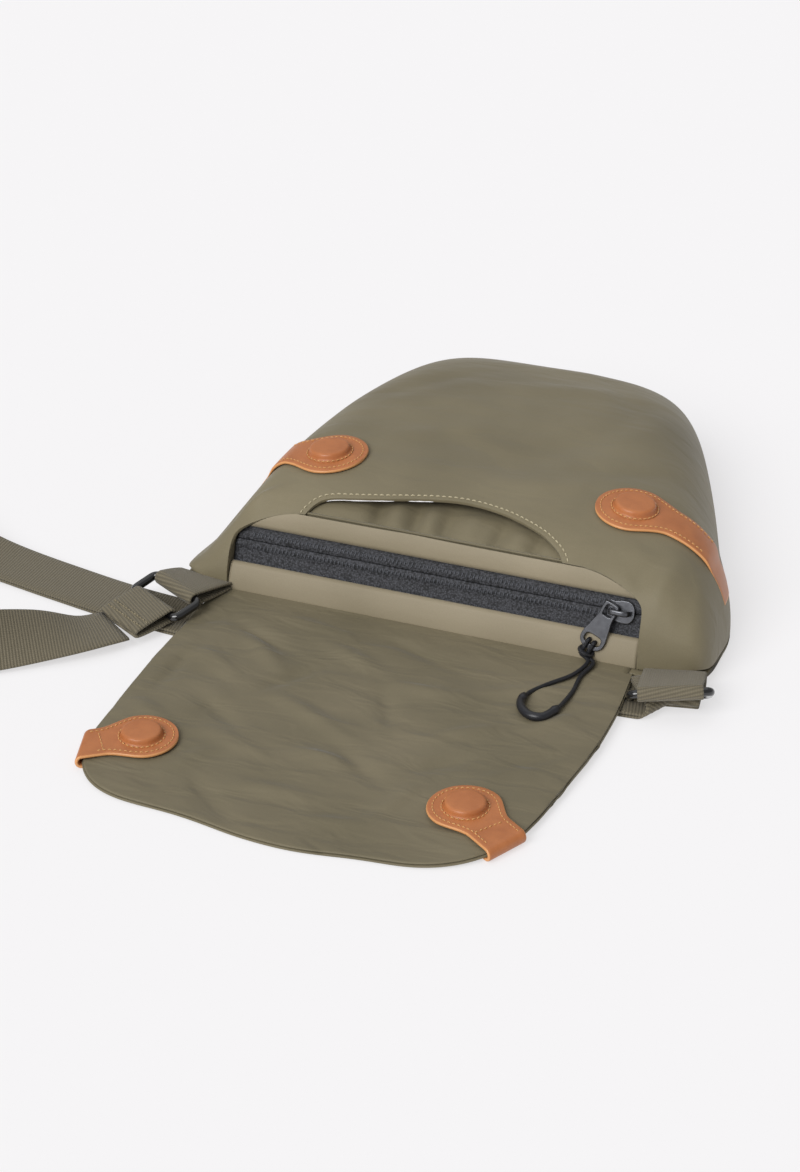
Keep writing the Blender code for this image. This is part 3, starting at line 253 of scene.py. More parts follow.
def slab(name, middle, thickness, material, round_rows=False):
    """A closed sheet with rounded edges. The grid of points is its middle surface; each is moved half the
    thickness along the surface's normal and against it, and a half circle joins the two at each long edge."""
    rows, columns = middle.shape[:2]
    along = np.gradient(middle, axis=0)
    if round_rows:
        along = (np.roll(middle, -1, axis=0) - np.roll(middle, 1, axis=0)) / 2
    across = np.gradient(middle, axis=1)
    normal = unit(np.cross(along, across))
    half = np.broadcast_to(np.asarray(thickness, dtype=float), (rows, columns))[..., None] / 2
    turn = np.pi * np.arange(1, EDGE_ROUND + 1) / (EDGE_ROUND + 1)
    out_end = unit(middle[:, -1] - middle[:, -2])[:, None]
    out_start = unit(middle[:, 0] - middle[:, 1])[:, None]
    end = middle[:, -1:] + half[:, -1:] * (
        out_end * np.sin(turn)[None, :, None] + normal[:, -1:] * np.cos(turn)[None, :, None]
    )
    start = middle[:, :1] + half[:, :1] * (
        out_start * np.sin(turn)[None, :, None] - normal[:, :1] * np.cos(turn)[None, :, None]
    )
    ring = np.concatenate([middle + half * normal, end, (middle - half * normal)[:, ::-1], start], axis=1)
    run = np.concatenate([[0], np.cumsum(np.linalg.norm(np.diff(middle, axis=0), axis=2).mean(axis=1))])
    wide = np.concatenate(
        [np.zeros((rows, 1)), np.cumsum(np.linalg.norm(np.diff(middle, axis=1), axis=2), axis=1)], axis=1
    )
    wide = wide - wide[:, -1:] / 2
    edge_wide = np.concatenate(
        [
            wide, np.repeat(wide[:, -1:], EDGE_ROUND, axis=1), wide[:, ::-1],
            np.repeat(wide[:, :1], EDGE_ROUND, axis=1)
        ],
        axis=1
    )
    uv = np.stack([np.broadcast_to(run[:, None], edge_wide.shape), edge_wide], axis=-1)
    rim = np.zeros(ring.shape[:2])
    rim[:, columns : columns + EDGE_ROUND] = 1
    rim[:, 2 * columns + EDGE_ROUND :] = 1
    count = ring.shape[1]
    faces = quads(rows, count, round_rows, True).tolist()
    if not round_rows:
        faces += [list(range(count)), list(range((rows - 1) * count, rows * count))[::-1]]
        rim[[0, -1]] = 1
    return put(name, ring, [f[::-1] for f in faces], material, uv, rim)


def run_along(points):
    """The distance along a line to each of its points."""
    return np.concatenate([[0], np.cumsum(np.linalg.norm(np.diff(points, axis=0), axis=1))])


def curve_runs(padded, count):
    """The pieces of a Catmull-Rom curve between a route's points, with one more point at either end."""
    steps = np.linspace(0, 1, count, endpoint=False)[:, None]
    runs = []
    for a, b, c, d in zip(padded, padded[1:], padded[2:], padded[3:]):
        bend = (2 * a - 5 * b + 4 * c - d) * steps**2
        runs.append(0.5 * (2 * b + (c - a) * steps + bend + (3 * b - a - 3 * c + d) * steps**3))
    return runs


def smooth_route(points, count, crowd=1.0):
    """Points along a smooth curve through a route's own points, closer set at its start."""
    keys = np.array(points, dtype=float)
    padded = np.vstack([2 * keys[0] - keys[1], keys, 2 * keys[-1] - keys[-2]])
    dense = np.vstack(curve_runs(padded, 24) + [keys[-1:]])
    along = run_along(dense[:, :3])
    even = np.linspace(0, 1, count) ** crowd * along[-1]
    return np.stack([np.interp(even, along, dense[:, k]) for k in range(dense.shape[1])], axis=1)


# Woven nylon webbing: fine ribs run across it, broken by the warp threads that run along it.
RIB = 1.5
WARP = 1.1
webbing, tree, shader = shader_for("woven_nylon_webbing", 0.72)
run_flat, across_flat = laid_flat(tree)
column = number(tree, "MULTIPLY", across_flat, 1 / (WARP * MM))
stagger = number(tree, "MULTIPLY", number(tree, "FLOOR", column), 0.12)
rib = number(tree, "MULTIPLY_ADD", run_flat, 1 / (RIB * MM), stagger)
rib_height = number(tree, "SINE", number(tree, "MULTIPLY", rib, math.tau))
warp_height = number(tree, "COSINE", number(tree, "MULTIPLY", column, math.tau))
thread = number(tree, "MULTIPLY_ADD", warp_height, -0.3, rib_height)
fuzz = number(tree, "MULTIPLY_ADD", blots(tree, 0.9, 3.0, 0.6), 1.2, thread)
paint(tree, shader, ranged(tree, fuzz, -1.2, 2.2), "#4f4939", "#776e59")
emboss(tree, shader, fuzz, 0.5, 0.25)
shader.inputs["Sheen Weight"].default_value = 0.15


def at_seam(x, y, z):
    """A point measured from the middle of the flap's seam."""
    return np.array([x, SEAM_Y + y, z], dtype=float)


STRAP_COLUMNS = np.linspace(-0.5, 0.5, 9)


def web_run(route, lift):
    """Flat webbing along points (x, y, z, tilt): its width lies level across the route, turned up by the
    tilt, and it is raised by lift along its own normal. Gives the grid of its middle surface."""
    ahead = unit(np.gradient(route[:, :3], axis=0))
    level = unit(np.stack([-ahead[:, 1], ahead[:, 0], np.zeros(len(route))], axis=1))
    tilt = np.radians(route[:, 3])[:, None]
    wide = level * np.cos(tilt) + np.array([0, 0, 1]) * np.sin(tilt)
    line = route[:, :3] + np.cross(ahead, wide) * lift[:, None]
    return line[:, None] + wide[:, None] * (STRAP_COLUMNS * (WEBBING - WEBBING_THICK))[None, :, None]


FLAT = 1.85
CLEAR = 0.3
GLIDE_THICK = 2.0
GLIDE_BAR = 4.0
GLIDE_LENGTH = 24.0
PAST = 45.0
single_keys = [(-352, -66, 20.2, 90), (-352, -80, 20.2, 90), (-348, -98, 20.2, 90), (-332, -126, 20.2, 90),
               (-300, -147, 20, 90), (-260, -148, 18.5, 90), (-222, -131, 16.8, 86), (-190, -106, 14.6, 58),
               (-164, -79, 10.4, 26), (-148.5, -63, 6.6, 4), (-138.8, -50.6, 5.4, 0)]
double_keys = [(-352, -66, 20.2, 90), (-352, -52, 20.2, 90), (-348, -35, 20.2, 90), (-332, -12, 18, 88),
               (-304, -1, 14.8, 55), (-268, -1.5, 8.6, 20), (-228, -8, 3.4, 3), (-180, -17, FLAT, 0),
               (-140, -24, FLAT, 0), (-90, -27.5, FLAT, 0), (-30, -28, FLAT, 0), (30, -25.5, FLAT, 0),
               (80, -20, FLAT, 0), (105.8, -17.6, FLAT, 0)]


def strap_route(keys, count):
    """Points along a strap route, closer set near the adjuster where it starts."""
    return smooth_route([(x, SEAM_Y + y, z, tilt) for x, y, z, tilt in keys], count, 1.5)


def weave(route, pattern):
    """How far a run leaves its route near the adjuster: heights at distances, eased between them."""
    along = run_along(route[:, :3])
    spots = np.array([d for d, _ in pattern])
    heights = np.array([h for _, h in pattern])
    index = np.clip(np.searchsorted(spots, along) - 1, 0, len(spots) - 2)
    part = eased((along - spots[index]) / (spots[index + 1] - spots[index]))
    return heights[index] + (heights[index + 1] - heights[index]) * part


over = GLIDE_THICK / 2 + CLEAR + WEBBING_THICK / 2
layer_gap = WEBBING_THICK + CLEAR
bar_to_bar = (GLIDE_LENGTH - GLIDE_BAR) / 2
through = [
    (0, over), (GLIDE_BAR / 2, over), (bar_to_bar - GLIDE_BAR / 2, -over),
    (bar_to_bar + GLIDE_BAR / 2 + CLEAR, -over)
]
under = [
    (0, -over), (bar_to_bar - GLIDE_BAR / 2, -over - layer_gap),
    (bar_to_bar + GLIDE_BAR / 2 + CLEAR, -over - layer_gap), (PAST, -layer_gap / 2)
]
single_route = strap_route(single_keys, 120)
double_route = strap_route(double_keys, 190)
single_grid = web_run(single_route, weave(single_route, [(d, -h) for d, h in through] + [(PAST, 0)]))
doubled_grid = web_run(double_route, weave(double_route, through + [(PAST, layer_gap / 2)]))
single_grid = np.concatenate([single_grid[:0:-1], doubled_grid[:1]])
return_grid = web_run(double_route, weave(double_route, under))[::-1]
strap_runs = {}
for name, grid in (
    ("strap_single_run", single_grid), ("strap_upper_run", doubled_grid), ("strap_return_run", return_grid)
):
    made = strap_runs[name] = slab(f"{name}_webbing", grid, WEBBING_THICK, webbing)
    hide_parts(name)
    if name == "strap_single_run":
        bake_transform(made)
    else:
        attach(made, "bag")

# Rings: rectangles of gloss-black steel wire, each held in a sewn loop of webbing at a top corner.

RING_WIRE = 2.1
RING_INSIDE = (32.0, 10.6)
RING_CORNER = 3.2
SPAN = RING_INSIDE[1] + 2 * RING_WIRE


def level_way(degrees):
    """A level direction, turned about +Z from +X."""
    return np.array([math.cos(math.radians(degrees)), math.sin(math.radians(degrees)), 0.0])


def tube(name, path, radius, material, sides=16, closed=False, guide=(0.0, 0.0, 1.0)):
    """A round rod along a path: circles set square to it, turned from a guide direction; ends are domed."""
    path = np.asarray(path, dtype=float)
    if closed:
        ahead = unit(np.roll(path, -1, axis=0) - np.roll(path, 1, axis=0))
    else:
        ahead = unit(np.gradient(path, axis=0))
    first = unit(np.cross(ahead, np.array(guide)))
    second = np.cross(ahead, first)
    radius = np.broadcast_to(np.asarray(radius, dtype=float), (len(path),))
    if not closed:
        bulge = np.array([0.05, 0.5, 0.86])
        lead = np.sqrt(1 - bulge**2)
        path = np.vstack(
            [
                path[0] - ahead[0] * (lead * radius[0])[:, None], path,
                path[-1] + ahead[-1] * (lead[::-1] * radius[-1])[:, None]
            ]
        )
        radius = np.concatenate([radius[0] * bulge, radius, radius[-1] * bulge[::-1]])
        first = np.vstack([np.repeat(first[:1], 3, axis=0), first, np.repeat(first[-1:], 3, axis=0)])
        second = np.vstack([np.repeat(second[:1], 3, axis=0), second, np.repeat(second[-1:], 3, axis=0)])
    angle = np.linspace(0, math.tau, sides, endpoint=False)
    cosine, sine = np.cos(angle)[None, :, None], np.sin(angle)[None, :, None]
    ring = path[:, None] + radius[:, None, None] * (first[:, None] * cosine + second[:, None] * sine)
    run = run_along(path)
    uv = np.stack(np.broadcast_arrays(run[:, None], (angle * radius.max())[None, :]), axis=-1)
    faces = quads(len(path), sides, closed, True).tolist()
    if not closed:
        faces += [list(range(sides)), list(range((len(path) - 1) * sides, len(path) * sides))[::-1]]
    return put(name, ring, [f[::-1] for f in faces], material, uv)


def rounded(x0, x1, y0, y1, radius, steps=8):
    """A rectangle with round corners, anticlockwise."""
    angle = np.radians(np.linspace(0, 90, steps + 1))
    corners = []
    for x, y, start in (
        (x1 - radius, y1 - radius, 0), (x0 + radius, y1 - radius, 90), (x0 + radius, y0 + radius, 180),
        (x1 - radius, y0 + radius, 270)
    ):
        turned = angle + math.radians(start)
        corners.append(np.stack([x + radius * np.cos(turned), y + radius * np.sin(turned)], axis=1))
    return np.vstack(corners)


# Black enamelled steel: a hard, wet-looking coat with a faint orange-peel ripple about 1.5 mm across.
enamel, tree, shader = shader_for("black_enamelled_steel", 0.16, "#0b0b0d")
emboss(tree, shader, blots(tree, 1.5, 1.0), 0.06, 0.1)
shader.inputs["Coat Weight"].default_value = 0.6
shader.inputs["Coat Roughness"].default_value = 0.08

LEFT_BAR_DIR = level_way(-30)
RIGHT_BAR_DIR = unit(level_way(19) + np.array([0, 0, 0.07]))
LEFT_DIP = 15.5
RIGHT_DIP = 36.0


def far_bar(bar, heading, dip):
    """The middle of a ring's other bar, SPAN away along a level heading and dipped."""
    dip = math.radians(dip)
    return bar + (level_way(heading) * math.cos(dip) - np.array([0, 0, math.sin(dip)])) * SPAN


left_bar = at_seam(-121.5, -17.5, 12.5)
left_far = far_bar(left_bar, -120, LEFT_DIP)
right_bar = at_seam(128.0, -25.0, 13.66)
right_far = far_bar(right_bar, 109, RIGHT_DIP)

rings = (("ring_left", left_bar, left_far, LEFT_BAR_DIR), ("ring_right", right_bar, right_far, RIGHT_BAR_DIR))
for name, near, far, bar_way in rings:
    half_wide = RING_INSIDE[0] / 2 + RING_WIRE
    half_long = RING_INSIDE[1] / 2 + RING_WIRE
    loop = rounded(-half_wide, half_wide, -half_long, half_long, RING_CORNER)
    long_way = unit(far - near)
    middle = (near + far) / 2 + loop[:, :1] * bar_way + loop[:, 1:] * long_way
    made = tube(f"{name}_wire", middle, RING_WIRE, enamel, 18, True, np.cross(bar_way, long_way))
    fit(made, name, "gloss_black_metal", name)

# Webbing loops: short folded lengths sewn into the bag's top corners, and the strap's own folded ends.
# Each goes out flat, turns round a ring's bar and comes back against itself.


def web_loop(bar, bar_way, root, root_way, fullness):
    """A folded loop: across u it leaves the root, turns half a circle round the bar, and returns; across v
    its width swings from the root's direction to the bar's. The two runs close up towards the root."""
    turn = 0.45
    u = np.linspace(-1, 1, 61)[:, None]
    v = STRAP_COLUMNS[None, :] * (WEBBING - WEBBING_THICK)
    wrap = RING_WIRE + CLEAR / 2 + WEBBING_THICK / 2
    outward = bar - root
    outward = unit(outward - bar_way * outward.dot(bar_way))
    up = unit(np.cross(bar_way, outward))
    up = up if up[2] > 0 else -up
    bend = np.clip((u + turn) / (2 * turn), 0, 1) * math.pi
    share = np.clip((1 - np.abs(u)) / (1 - turn), 0, 1)
    rest = WEBBING_THICK / 2 + CLEAR / 4
    lift = (rest + (wrap - rest) * share**fullness) * np.cos(bend)
    centre = root + (bar - root) * share[..., None]
    width_way = unit(root_way * (1 - share[..., None]) + bar_way * share[..., None])
    round_bar = outward * (wrap * np.sin(bend))[..., None]
    return centre + width_way * v[..., None] + up * lift[..., None] + round_bar


right_root_way = unit(np.array([1, 0, 0.13]))
loops = (("strap_loop_left", left_bar, LEFT_BAR_DIR, at_seam(-116, 3.5, 8.4), level_way(-8), 0.5),
         ("strap_loop_right", right_bar, RIGHT_BAR_DIR, at_seam(122, 3.5, 7.5), right_root_way, 0.5),
         ("strap_end_left", left_far, LEFT_BAR_DIR, at_seam(-138, -49, 6.1), LEFT_BAR_DIR, 0.4))
for name, bar, bar_way, root, root_way, fullness in loops:
    tail_grid = web_loop(bar, bar_way, root, root_way, fullness)
    made = slab(f"{name}_webbing", tail_grid, WEBBING_THICK, webbing)
    fit(made, "ring_left" if name == "strap_end_left" else "bag", "olive_webbing", name)

# The turn at the right ring: the doubled strap comes from under the flap along the floor, rolls over a
# slanting fold and goes back under the webbing loop to the ring's hidden bar. Its open roll shows.

TURN_CENTRE = np.array([126.5, SEAM_Y - 17.4])
CREASE = math.radians(65)
ROLL = 2.55


def rolled_turn(roll, floor):
    """Webbing rolled up over a slanting crease. The flat strip lies at the floor height. Its distance q past
    the crease bends round a cylinder of radius roll, and comes out 2 rolls higher, mirrored in the crease."""
    ahead = unit(double_route[-1, :2] - double_route[-3, :2])
    level = np.array([-ahead[1], ahead[0]])
    a = np.linspace(0, 40, 70)[:, None, None]
    b = (STRAP_COLUMNS * (WEBBING - WEBBING_THICK))[None, :, None]
    flat_spot = double_route[-1, :2] + a * ahead + b * level - TURN_CENTRE
    crease = np.array([math.cos(CREASE), math.sin(CREASE)])
    past_way = np.array([math.sin(CREASE), -math.cos(CREASE)])
    q = flat_spot @ past_way
    angle = np.clip(q / roll + math.pi / 2, 0, math.pi)
    bent = np.where(angle <= 0, q, np.where(angle >= math.pi, -q, -math.pi * roll / 2 + roll * np.sin(angle)))
    plan = TURN_CENTRE + (flat_spot @ crease)[..., None] * crease + bent[..., None] * past_way
    return np.concatenate([plan, (floor + roll * (1 - np.cos(angle)))[..., None]], axis=-1)


wrap_grid = web_loop(right_far, RIGHT_BAR_DIR, at_seam(124, -17.2, 2.4), level_way(12), 0.35)
strap_wrap = slab("strap_end_right_webbing", wrap_grid, WEBBING_THICK, webbing)
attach(strap_wrap, "ring_right")
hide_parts("strap_end_right")
strap_turn = slab(
    "strap_turn_outer", rolled_turn(ROLL + layer_gap / 2, FLAT - layer_gap / 2), WEBBING_THICK, webbing
)
turn_inside = slab(
    "strap_turn_inner", rolled_turn(ROLL - layer_gap / 2, FLAT + layer_gap / 2), WEBBING_THICK, webbing
)
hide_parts("strap_fold")
for made in (strap_turn, turn_inside):
    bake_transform(made)

# Front panel: one piece of olive coated cloth over the bag's whole front and sides. It is turned in round
# the zip's window, and turned in and topstitched along the pocket's mouth.

BODY_LENGTH = 252.0
BODY_DEPTH = 58.5
HALF_WIDTH_LEFT = 131.5
HALF_WIDTH_RIGHT = 138.5
BOTTOM_HALF_WIDTH_LEFT = 84.0
BOTTOM_HALF_WIDTH_RIGHT = 55.3
BOTTOM_SINK = 0.309
TAPER_POWER = 1.37
DOME_POWER = 6.63
CORNER_PINCH = 0.8
PINCH_START = 92.0
PINCH_REACH = 117.0
FAR_SLUMP = 0.268
BACK_CLOTH = 2.0
BACK_RISE = 4.4
SEAM_GAP = 0.75
CLOTH = 1.6
POD_Y = SEAM_Y + 59.5


def underside(y):
    """Height of the back panel's underside: flat, eased up by 4.4 mm near the top where the strap passes."""
    return BACK_RISE * eased((SEAM_Y + 54 - y) / 40)


def corner_power(cy, ring):
    """How square the footprint is: sharp corners at the zipped top, round ones at the bottom."""
    sharp = np.where(cy < 0, 16.0, 7.6)
    soft = np.where(cy < 0, 5.0, 5.4)
    return soft + (sharp - soft) * ring**6


def reach(cx, cy):
    """0 in the middle of the footprint and 1 on its edge: the n-norm of (cx, cy) with n from corner_power."""
    ring = np.maximum(np.abs(cx), np.abs(cy))
    for _ in range(8):
        power = corner_power(cy, np.minimum(ring, 1))
        ring = (np.abs(cx) ** power + np.abs(cy) ** power) ** (1 / power)
    return np.minimum(ring, 1)


def half_width(right, cy, inset):
    """Half-width of the body on its right or left side; it tapers to the bottom with a power of 1.37, and the
    right side bulges a little by its tab."""
    top = np.where(right, HALF_WIDTH_RIGHT, HALF_WIDTH_LEFT)
    bottom = np.where(right, BOTTOM_HALF_WIDTH_RIGHT, BOTTOM_HALF_WIDTH_LEFT)
    bulge = np.where(right, 5.0 * np.exp(-(((cy * BODY_LENGTH / 2 - POD_Y) / 28) ** 2)), 0)
    return top - (top - bottom) * (np.clip(cy + 1, 0, 2) / 2) ** TAPER_POWER + bulge - inset


def pinched(x, y):
    """How far the left side is pressed flat, from 0 to 0.8: most at its edge, and near the zipped top."""
    part = eased((-x - PINCH_START) / (HALF_WIDTH_LEFT - PINCH_START))
    return CORNER_PINCH * part * np.exp(-(((y - SEAM_Y) / PINCH_REACH) ** 2))


def hem_lift(x, y):
    """How far the hem is raised at the zipped top's corners, where the webbing loops come out under it."""
    right = 1.9 * eased((x - 104) / 20) + 2.4 * eased((x - 120) / 20)
    left = 2.3 * eased((-x - 102) / 8) + 2.4 * eased((-x - 118) / 10)
    return (right + left) * np.exp(-(((y - SEAM_Y) / 10) ** 2))


def slumped(cx, cy):
    """How far the body sinks towards its bottom right corner."""
    return FAR_SLUMP * np.clip(cx, 0, 1) ** 2 * np.clip((cy + 1) / 2, 0, 1) ** 2


def disc(u, v):
    """Spread a square grid over the footprint: rings of the square become rings of the n-norm, closer
    together near the edge."""
    ring = np.maximum(np.maximum(np.abs(u), np.abs(v)), 1e-9)
    ex, ey = u / ring, v / ring
    power = corner_power(ey, np.ones_like(ey))
    edge = (np.abs(ex) ** power + np.abs(ey) ** power) ** (1 / power)
    spread = np.sin(ring * math.pi / 2) / np.maximum(edge, 1e-9)
    return ex * spread, ey * spread


def dome(cx, cy, inset=0.0, gap=SEAM_GAP):
    """The pillow: height = base + (top - base) * sqrt(1 - reach to the 6.63), less an inset all round, and
    lowered where the side is pressed flat and where the bottom slumps."""
    x = cx * half_width(cx > 0, cy, inset)
    y = cy * (BODY_LENGTH / 2 - inset)
    loss = pinched(x, y)
    base = underside(y) + BACK_CLOTH + gap + CLOTH * loss + hem_lift(x, y)
    top = BODY_DEPTH * (1 - BOTTOM_SINK * np.maximum(cy, 0) ** 2) - inset
    rise = np.sqrt(np.maximum(1 - reach(cx, cy) ** DOME_POWER, 0)) * (1 - loss) * (1 - slumped(cx, cy))
    return np.stack([x, y, base + (top - base) * rise], axis=-1)


def dome_at(x, y):
    """The point of the body's outer surface above a point of its footprint."""
    cy = y / (BODY_LENGTH / 2)
    return dome(x / half_width(x > 0, cy, 0.0), cy)


def dome_normal(x, y):
    """The outward direction of that surface, from its slopes over half a millimetre each way."""
    slope_x = dome_at(x + 0.5, y)[..., 2] - dome_at(x - 0.5, y)[..., 2]
    slope_y = dome_at(x, y + 0.5)[..., 2] - dome_at(x, y - 0.5)[..., 2]
    return unit(np.stack([-slope_x, -slope_y, np.ones_like(slope_x)], axis=-1))


LEAN = math.radians(71)
GUSSET_UP = np.array([0, math.cos(LEAN), math.sin(LEAN)])
GUSSET_OUT = np.array([0, -math.sin(LEAN), math.cos(LEAN)])
GUSSET_FOOT = np.array([0, SEAM_Y + 2.2, BACK_RISE + BACK_CLOTH + CLOTH * math.cos(LEAN)])
GUSSET_TOP = 41.5
MOUTH_Y = SEAM_Y + 2.2 + GUSSET_TOP * math.cos(LEAN)
window_keys = [
    (-104, -6), (-104, 4), (-104, 14), (-103.9, 21), (-103.3, 25.6), (-101.4, 28.8), (-98, 31.4),
    (-93, 34.4), (-87, 37.4), (-80, 39.9), (-73, 41.3), (-65, 41.8), (0, 41.8), (65, 41.8), (73, 41.4),
    (80, 40.4), (87, 38.4), (93, 36.0), (98, 33.4), (101.4, 31.0), (103.3, 28.0), (103.9, 23), (104, 14),
    (104, 4), (104, -6)
]
window_line = smooth_route(window_keys, 170)
mouth_keys = [
    (-69.6, -7), (-69, -1), (-67.6, 2.3), (-65, 6.2), (-61.5, 9), (-56, 10.8), (-45, 12.9), (-33, 15.6),
    (-22, 18.4), (-10, 21.2), (2, 22.9), (13.6, 22.4), (25, 20.2), (35, 16.8), (45.7, 12.2), (52.3, 8.2),
    (58.4, 3.6), (62, -1), (63.6, -7)
]
mouth_line = smooth_route(mouth_keys, 150)


def on_gusset(x, up, out):
    """A point of the zip's leaning strip: along it, up its slope, and out of the bag."""
    x, up, out = np.broadcast_arrays(np.asarray(x, float), np.asarray(up, float), np.asarray(out, float))
    return GUSSET_FOOT + np.stack(
        [x, 0 * x, 0 * x], axis=-1
    ) + up[..., None] * GUSSET_UP + out[..., None] * GUSSET_OUT


def outside(line, spot):
    """Distance outside an arch: to the nearest straight step of its outline, and below zero under it."""
    start, step = line[:-1], np.diff(line, axis=0)
    part = np.clip(((spot[..., None, :] - start) * step).sum(axis=-1) / (step**2).sum(axis=-1), 0, 1)
    gap = np.linalg.norm(spot[..., None, :] - start - part[..., None] * step, axis=-1).min(axis=-1)
    top = np.interp(spot[..., 0], np.maximum.accumulate(line[:, 0]), line[:, 1], -99, -99)
    return np.where(spot[..., 1] < top, -gap, gap)


def outside_window(points):
    """Distance outside the zip's window, in the plane of the zip strip."""
    return outside(window_line, np.stack([points[..., 0], (points - GUSSET_FOOT) @ GUSSET_UP], axis=-1))


def outside_mouth(points):
    """Distance outside the pocket's mouth, in plan."""
    return outside(mouth_line, np.stack([points[..., 0], points[..., 1] - MOUTH_Y], axis=-1))


def panel_edge(points):
    """Distance outside both openings."""
    return np.minimum(outside_window(points), outside_mouth(points))


def trimmed_dome(count, inset, gap, keep):
    """The pillow's points and the faces that lie where keep is above zero. Points on the trimmed edge slide
    over the surface, by Newton's steps in (cx, cy), until keep is zero there."""
    line = np.linspace(-1, 1, count)
    v, u = np.meshgrid(line, line, indexing="ij")
    cx, cy = (a.ravel() for a in disc(u, v))
    points = dome(cx, cy, inset, gap)
    faces = quads(count, count)
    kept = keep(points[faces].mean(axis=1)) > 0
    inner = np.zeros(len(points), dtype=bool)
    outer = np.zeros(len(points), dtype=bool)
    inner[faces[kept].ravel()] = True
    outer[faces[~kept].ravel()] = True
    edge = np.flatnonzero(inner & outer)
    a, b = cx[edge].copy(), cy[edge].copy()
    tiny = 1e-4
    for _ in range(14):
        value = keep(dome(a, b, inset, gap))
        slope_a = (keep(dome(a + tiny, b, inset, gap)) - value) / tiny
        slope_b = (keep(dome(a, b + tiny, inset, gap)) - value) / tiny
        step = np.clip(value, -1.5, 1.5) / (slope_a**2 + slope_b**2 + 1e-6)
        a, b = a - step * slope_a, b - step * slope_b
        spill = np.maximum(np.maximum(np.abs(a), np.abs(b)), 1)
        a, b = a / spill, b / spill
    points[edge] = dome(a, b, inset, gap)
    return points, faces[kept][:, ::-1]


def ridges(x, y, folds):
    """Soft creases: for each (x, y, degrees, half-length, half-width, height), a bell across the crease
    that fades along it."""
    total = np.zeros_like(x)
    for at_x, at_y, degrees, long, wide, height in folds:
        way = math.radians(degrees)
        along = (x - at_x) * math.cos(way) + (y - at_y) * math.sin(way)
        across = (y - at_y) * math.cos(way) - (x - at_x) * math.sin(way)
        total = total + height * np.exp(-((along / long) ** 2) - (across / wide) ** 2)
    return total


# Olive coated cloth: a tight weave under a matt coat. Seen close it has a grain of about 0.5 mm, an even
# tone that shifts a little over 60 mm, and a faint paler bloom at glancing angles.


def coated_cloth(name, dark, pale, grain, crumple):
    """Coated cloth between two tones, with a grain size in millimetres and a strength of shallow creases,
    which are drawn out along a slant."""
    made, tree, shader = shader_for(name, 0.58)
    fine = blots(tree, grain, 2.0, 0.6)
    speck = number(tree, "MULTIPLY_ADD", fine, 0.45, blots(tree, 60, 2.0))
    paint(tree, shader, ranged(tree, speck, 0.4, 1.05), dark, pale)
    tree.links.new(ranged(tree, fine, 0.0, 1.0, 0.54, 0.68), shader.inputs["Roughness"])
    place = add(tree, "ShaderNodeTexCoord")
    slant = {"Rotation": (0, 0, math.radians(-24)), "Scale": (0.5, 1.3, 1.0)}
    drawn = add(tree, "ShaderNodeMapping", {"Vector": place.outputs["Object"], **slant})
    looks = {"Scale": 1 / 15 / MM, "Detail": 2.0, "Roughness": 0.45, "Distortion": 0.6}
    rumple = add(tree, "ShaderNodeTexNoise", {"Vector": drawn.outputs[0], **looks})
    swell = add(
        tree, "ShaderNodeBump", {"Height": rumple.outputs[0], "Strength": crumple, "Distance": 3.0 * MM}
    )
    emboss(tree, shader, fine, 0.22, 0.12, swell.outputs[0])
    shader.inputs["Specular IOR Level"].default_value = 0.35
    shader.inputs["Sheen Weight"].default_value = 0.12
    shader.inputs["Sheen Roughness"].default_value = 0.4
    return made


olive_cloth = coated_cloth("olive_coated_cloth", "#6b634d", "#80775f", 0.5, 0.3)

PANEL_COUNT = 220
panel_folds = [
    (-108, -111, 20, 16, 3.6, 2.2), (-93, -103, 42, 13, 4.2, 2.0), (-101, -104, 32, 18, 4.0, -1.8),
    (-112, -102, 60, 16, 5, 1.4), (-106, -84, 70, 22, 7, -1.6), (-88, -50, 72, 26, 9, 1.1),
    (100, -108, 62, 16, 5, -1.6), (110, -112, 75, 14, 4.5, 1.5), (122, -112, 95, 16, 5, -1.3),
    (112, -86, 80, 22, 8, 1.2), (92, -96, 150, 14, 6, 1.0), (40, -58, 20, 40, 10, 0.9),
    (30, -20, 60, 45, 11, -1.3), (-30, 10, 110, 50, 13, 1.2), (60, 20, 75, 40, 11, 1.2),
    (-20, -64, 5, 50, 9, 0.7), (-60, 30, 50, 34, 8, -1.2), (10, 50, 20, 40, 9, 1.1),
    (70, -30, 35, 24, 8, -1.0), (-10, -36, 150, 30, 8, -1.0), (36, 60, 120, 30, 8, -1.0),
    (118, -60, 95, 24, 8, 1.1), (-40, -30, 30, 26, 8, 1.0), (0, 86, 8, 40, 8, 0.9)
]


def panel_swell(points):
    """Height of the panel's soft creases above the pillow: none along its edges or under the tabs."""
    x, y, z = np.moveaxis(points, -1, 0)
    fade = np.clip((panel_edge(points) - 0.5) / 7, 0, 1) * np.clip((z - 10) / 12, 0, 1)
    fade = fade * np.where(np.abs(x) < 80, np.clip((outside_mouth(points) - 5) / 7, 0, 1), 1)
    by_tab = np.exp(-(((y - POD_Y) / 24) ** 4)) * np.clip((np.abs(x) - 52) / 6, 0, 1)
    return ridges(x, y, panel_folds) * eased(fade) * (1 - by_tab)


panel_points, panel_faces = trimmed_dome(PANEL_COUNT, 0.0, SEAM_GAP, panel_edge)
panel_points[:, 2] += panel_swell(panel_points)
front_panel = put("front_panel_cloth", panel_points, panel_faces, olive_cloth)
shell = front_panel.modifiers.new("thickness", "SOLIDIFY")
shell.thickness = CLOTH * MM
shell.offset = -1
ease = front_panel.modifiers.new("turned_edge", "BEVEL")
ease.width = 0.5 * MM
ease.segments = 2
ease.limit_method = "ANGLE"
ease.angle_limit = math.radians(55)
fit(front_panel, "bag", "olive_coated_cloth", "front_panel")


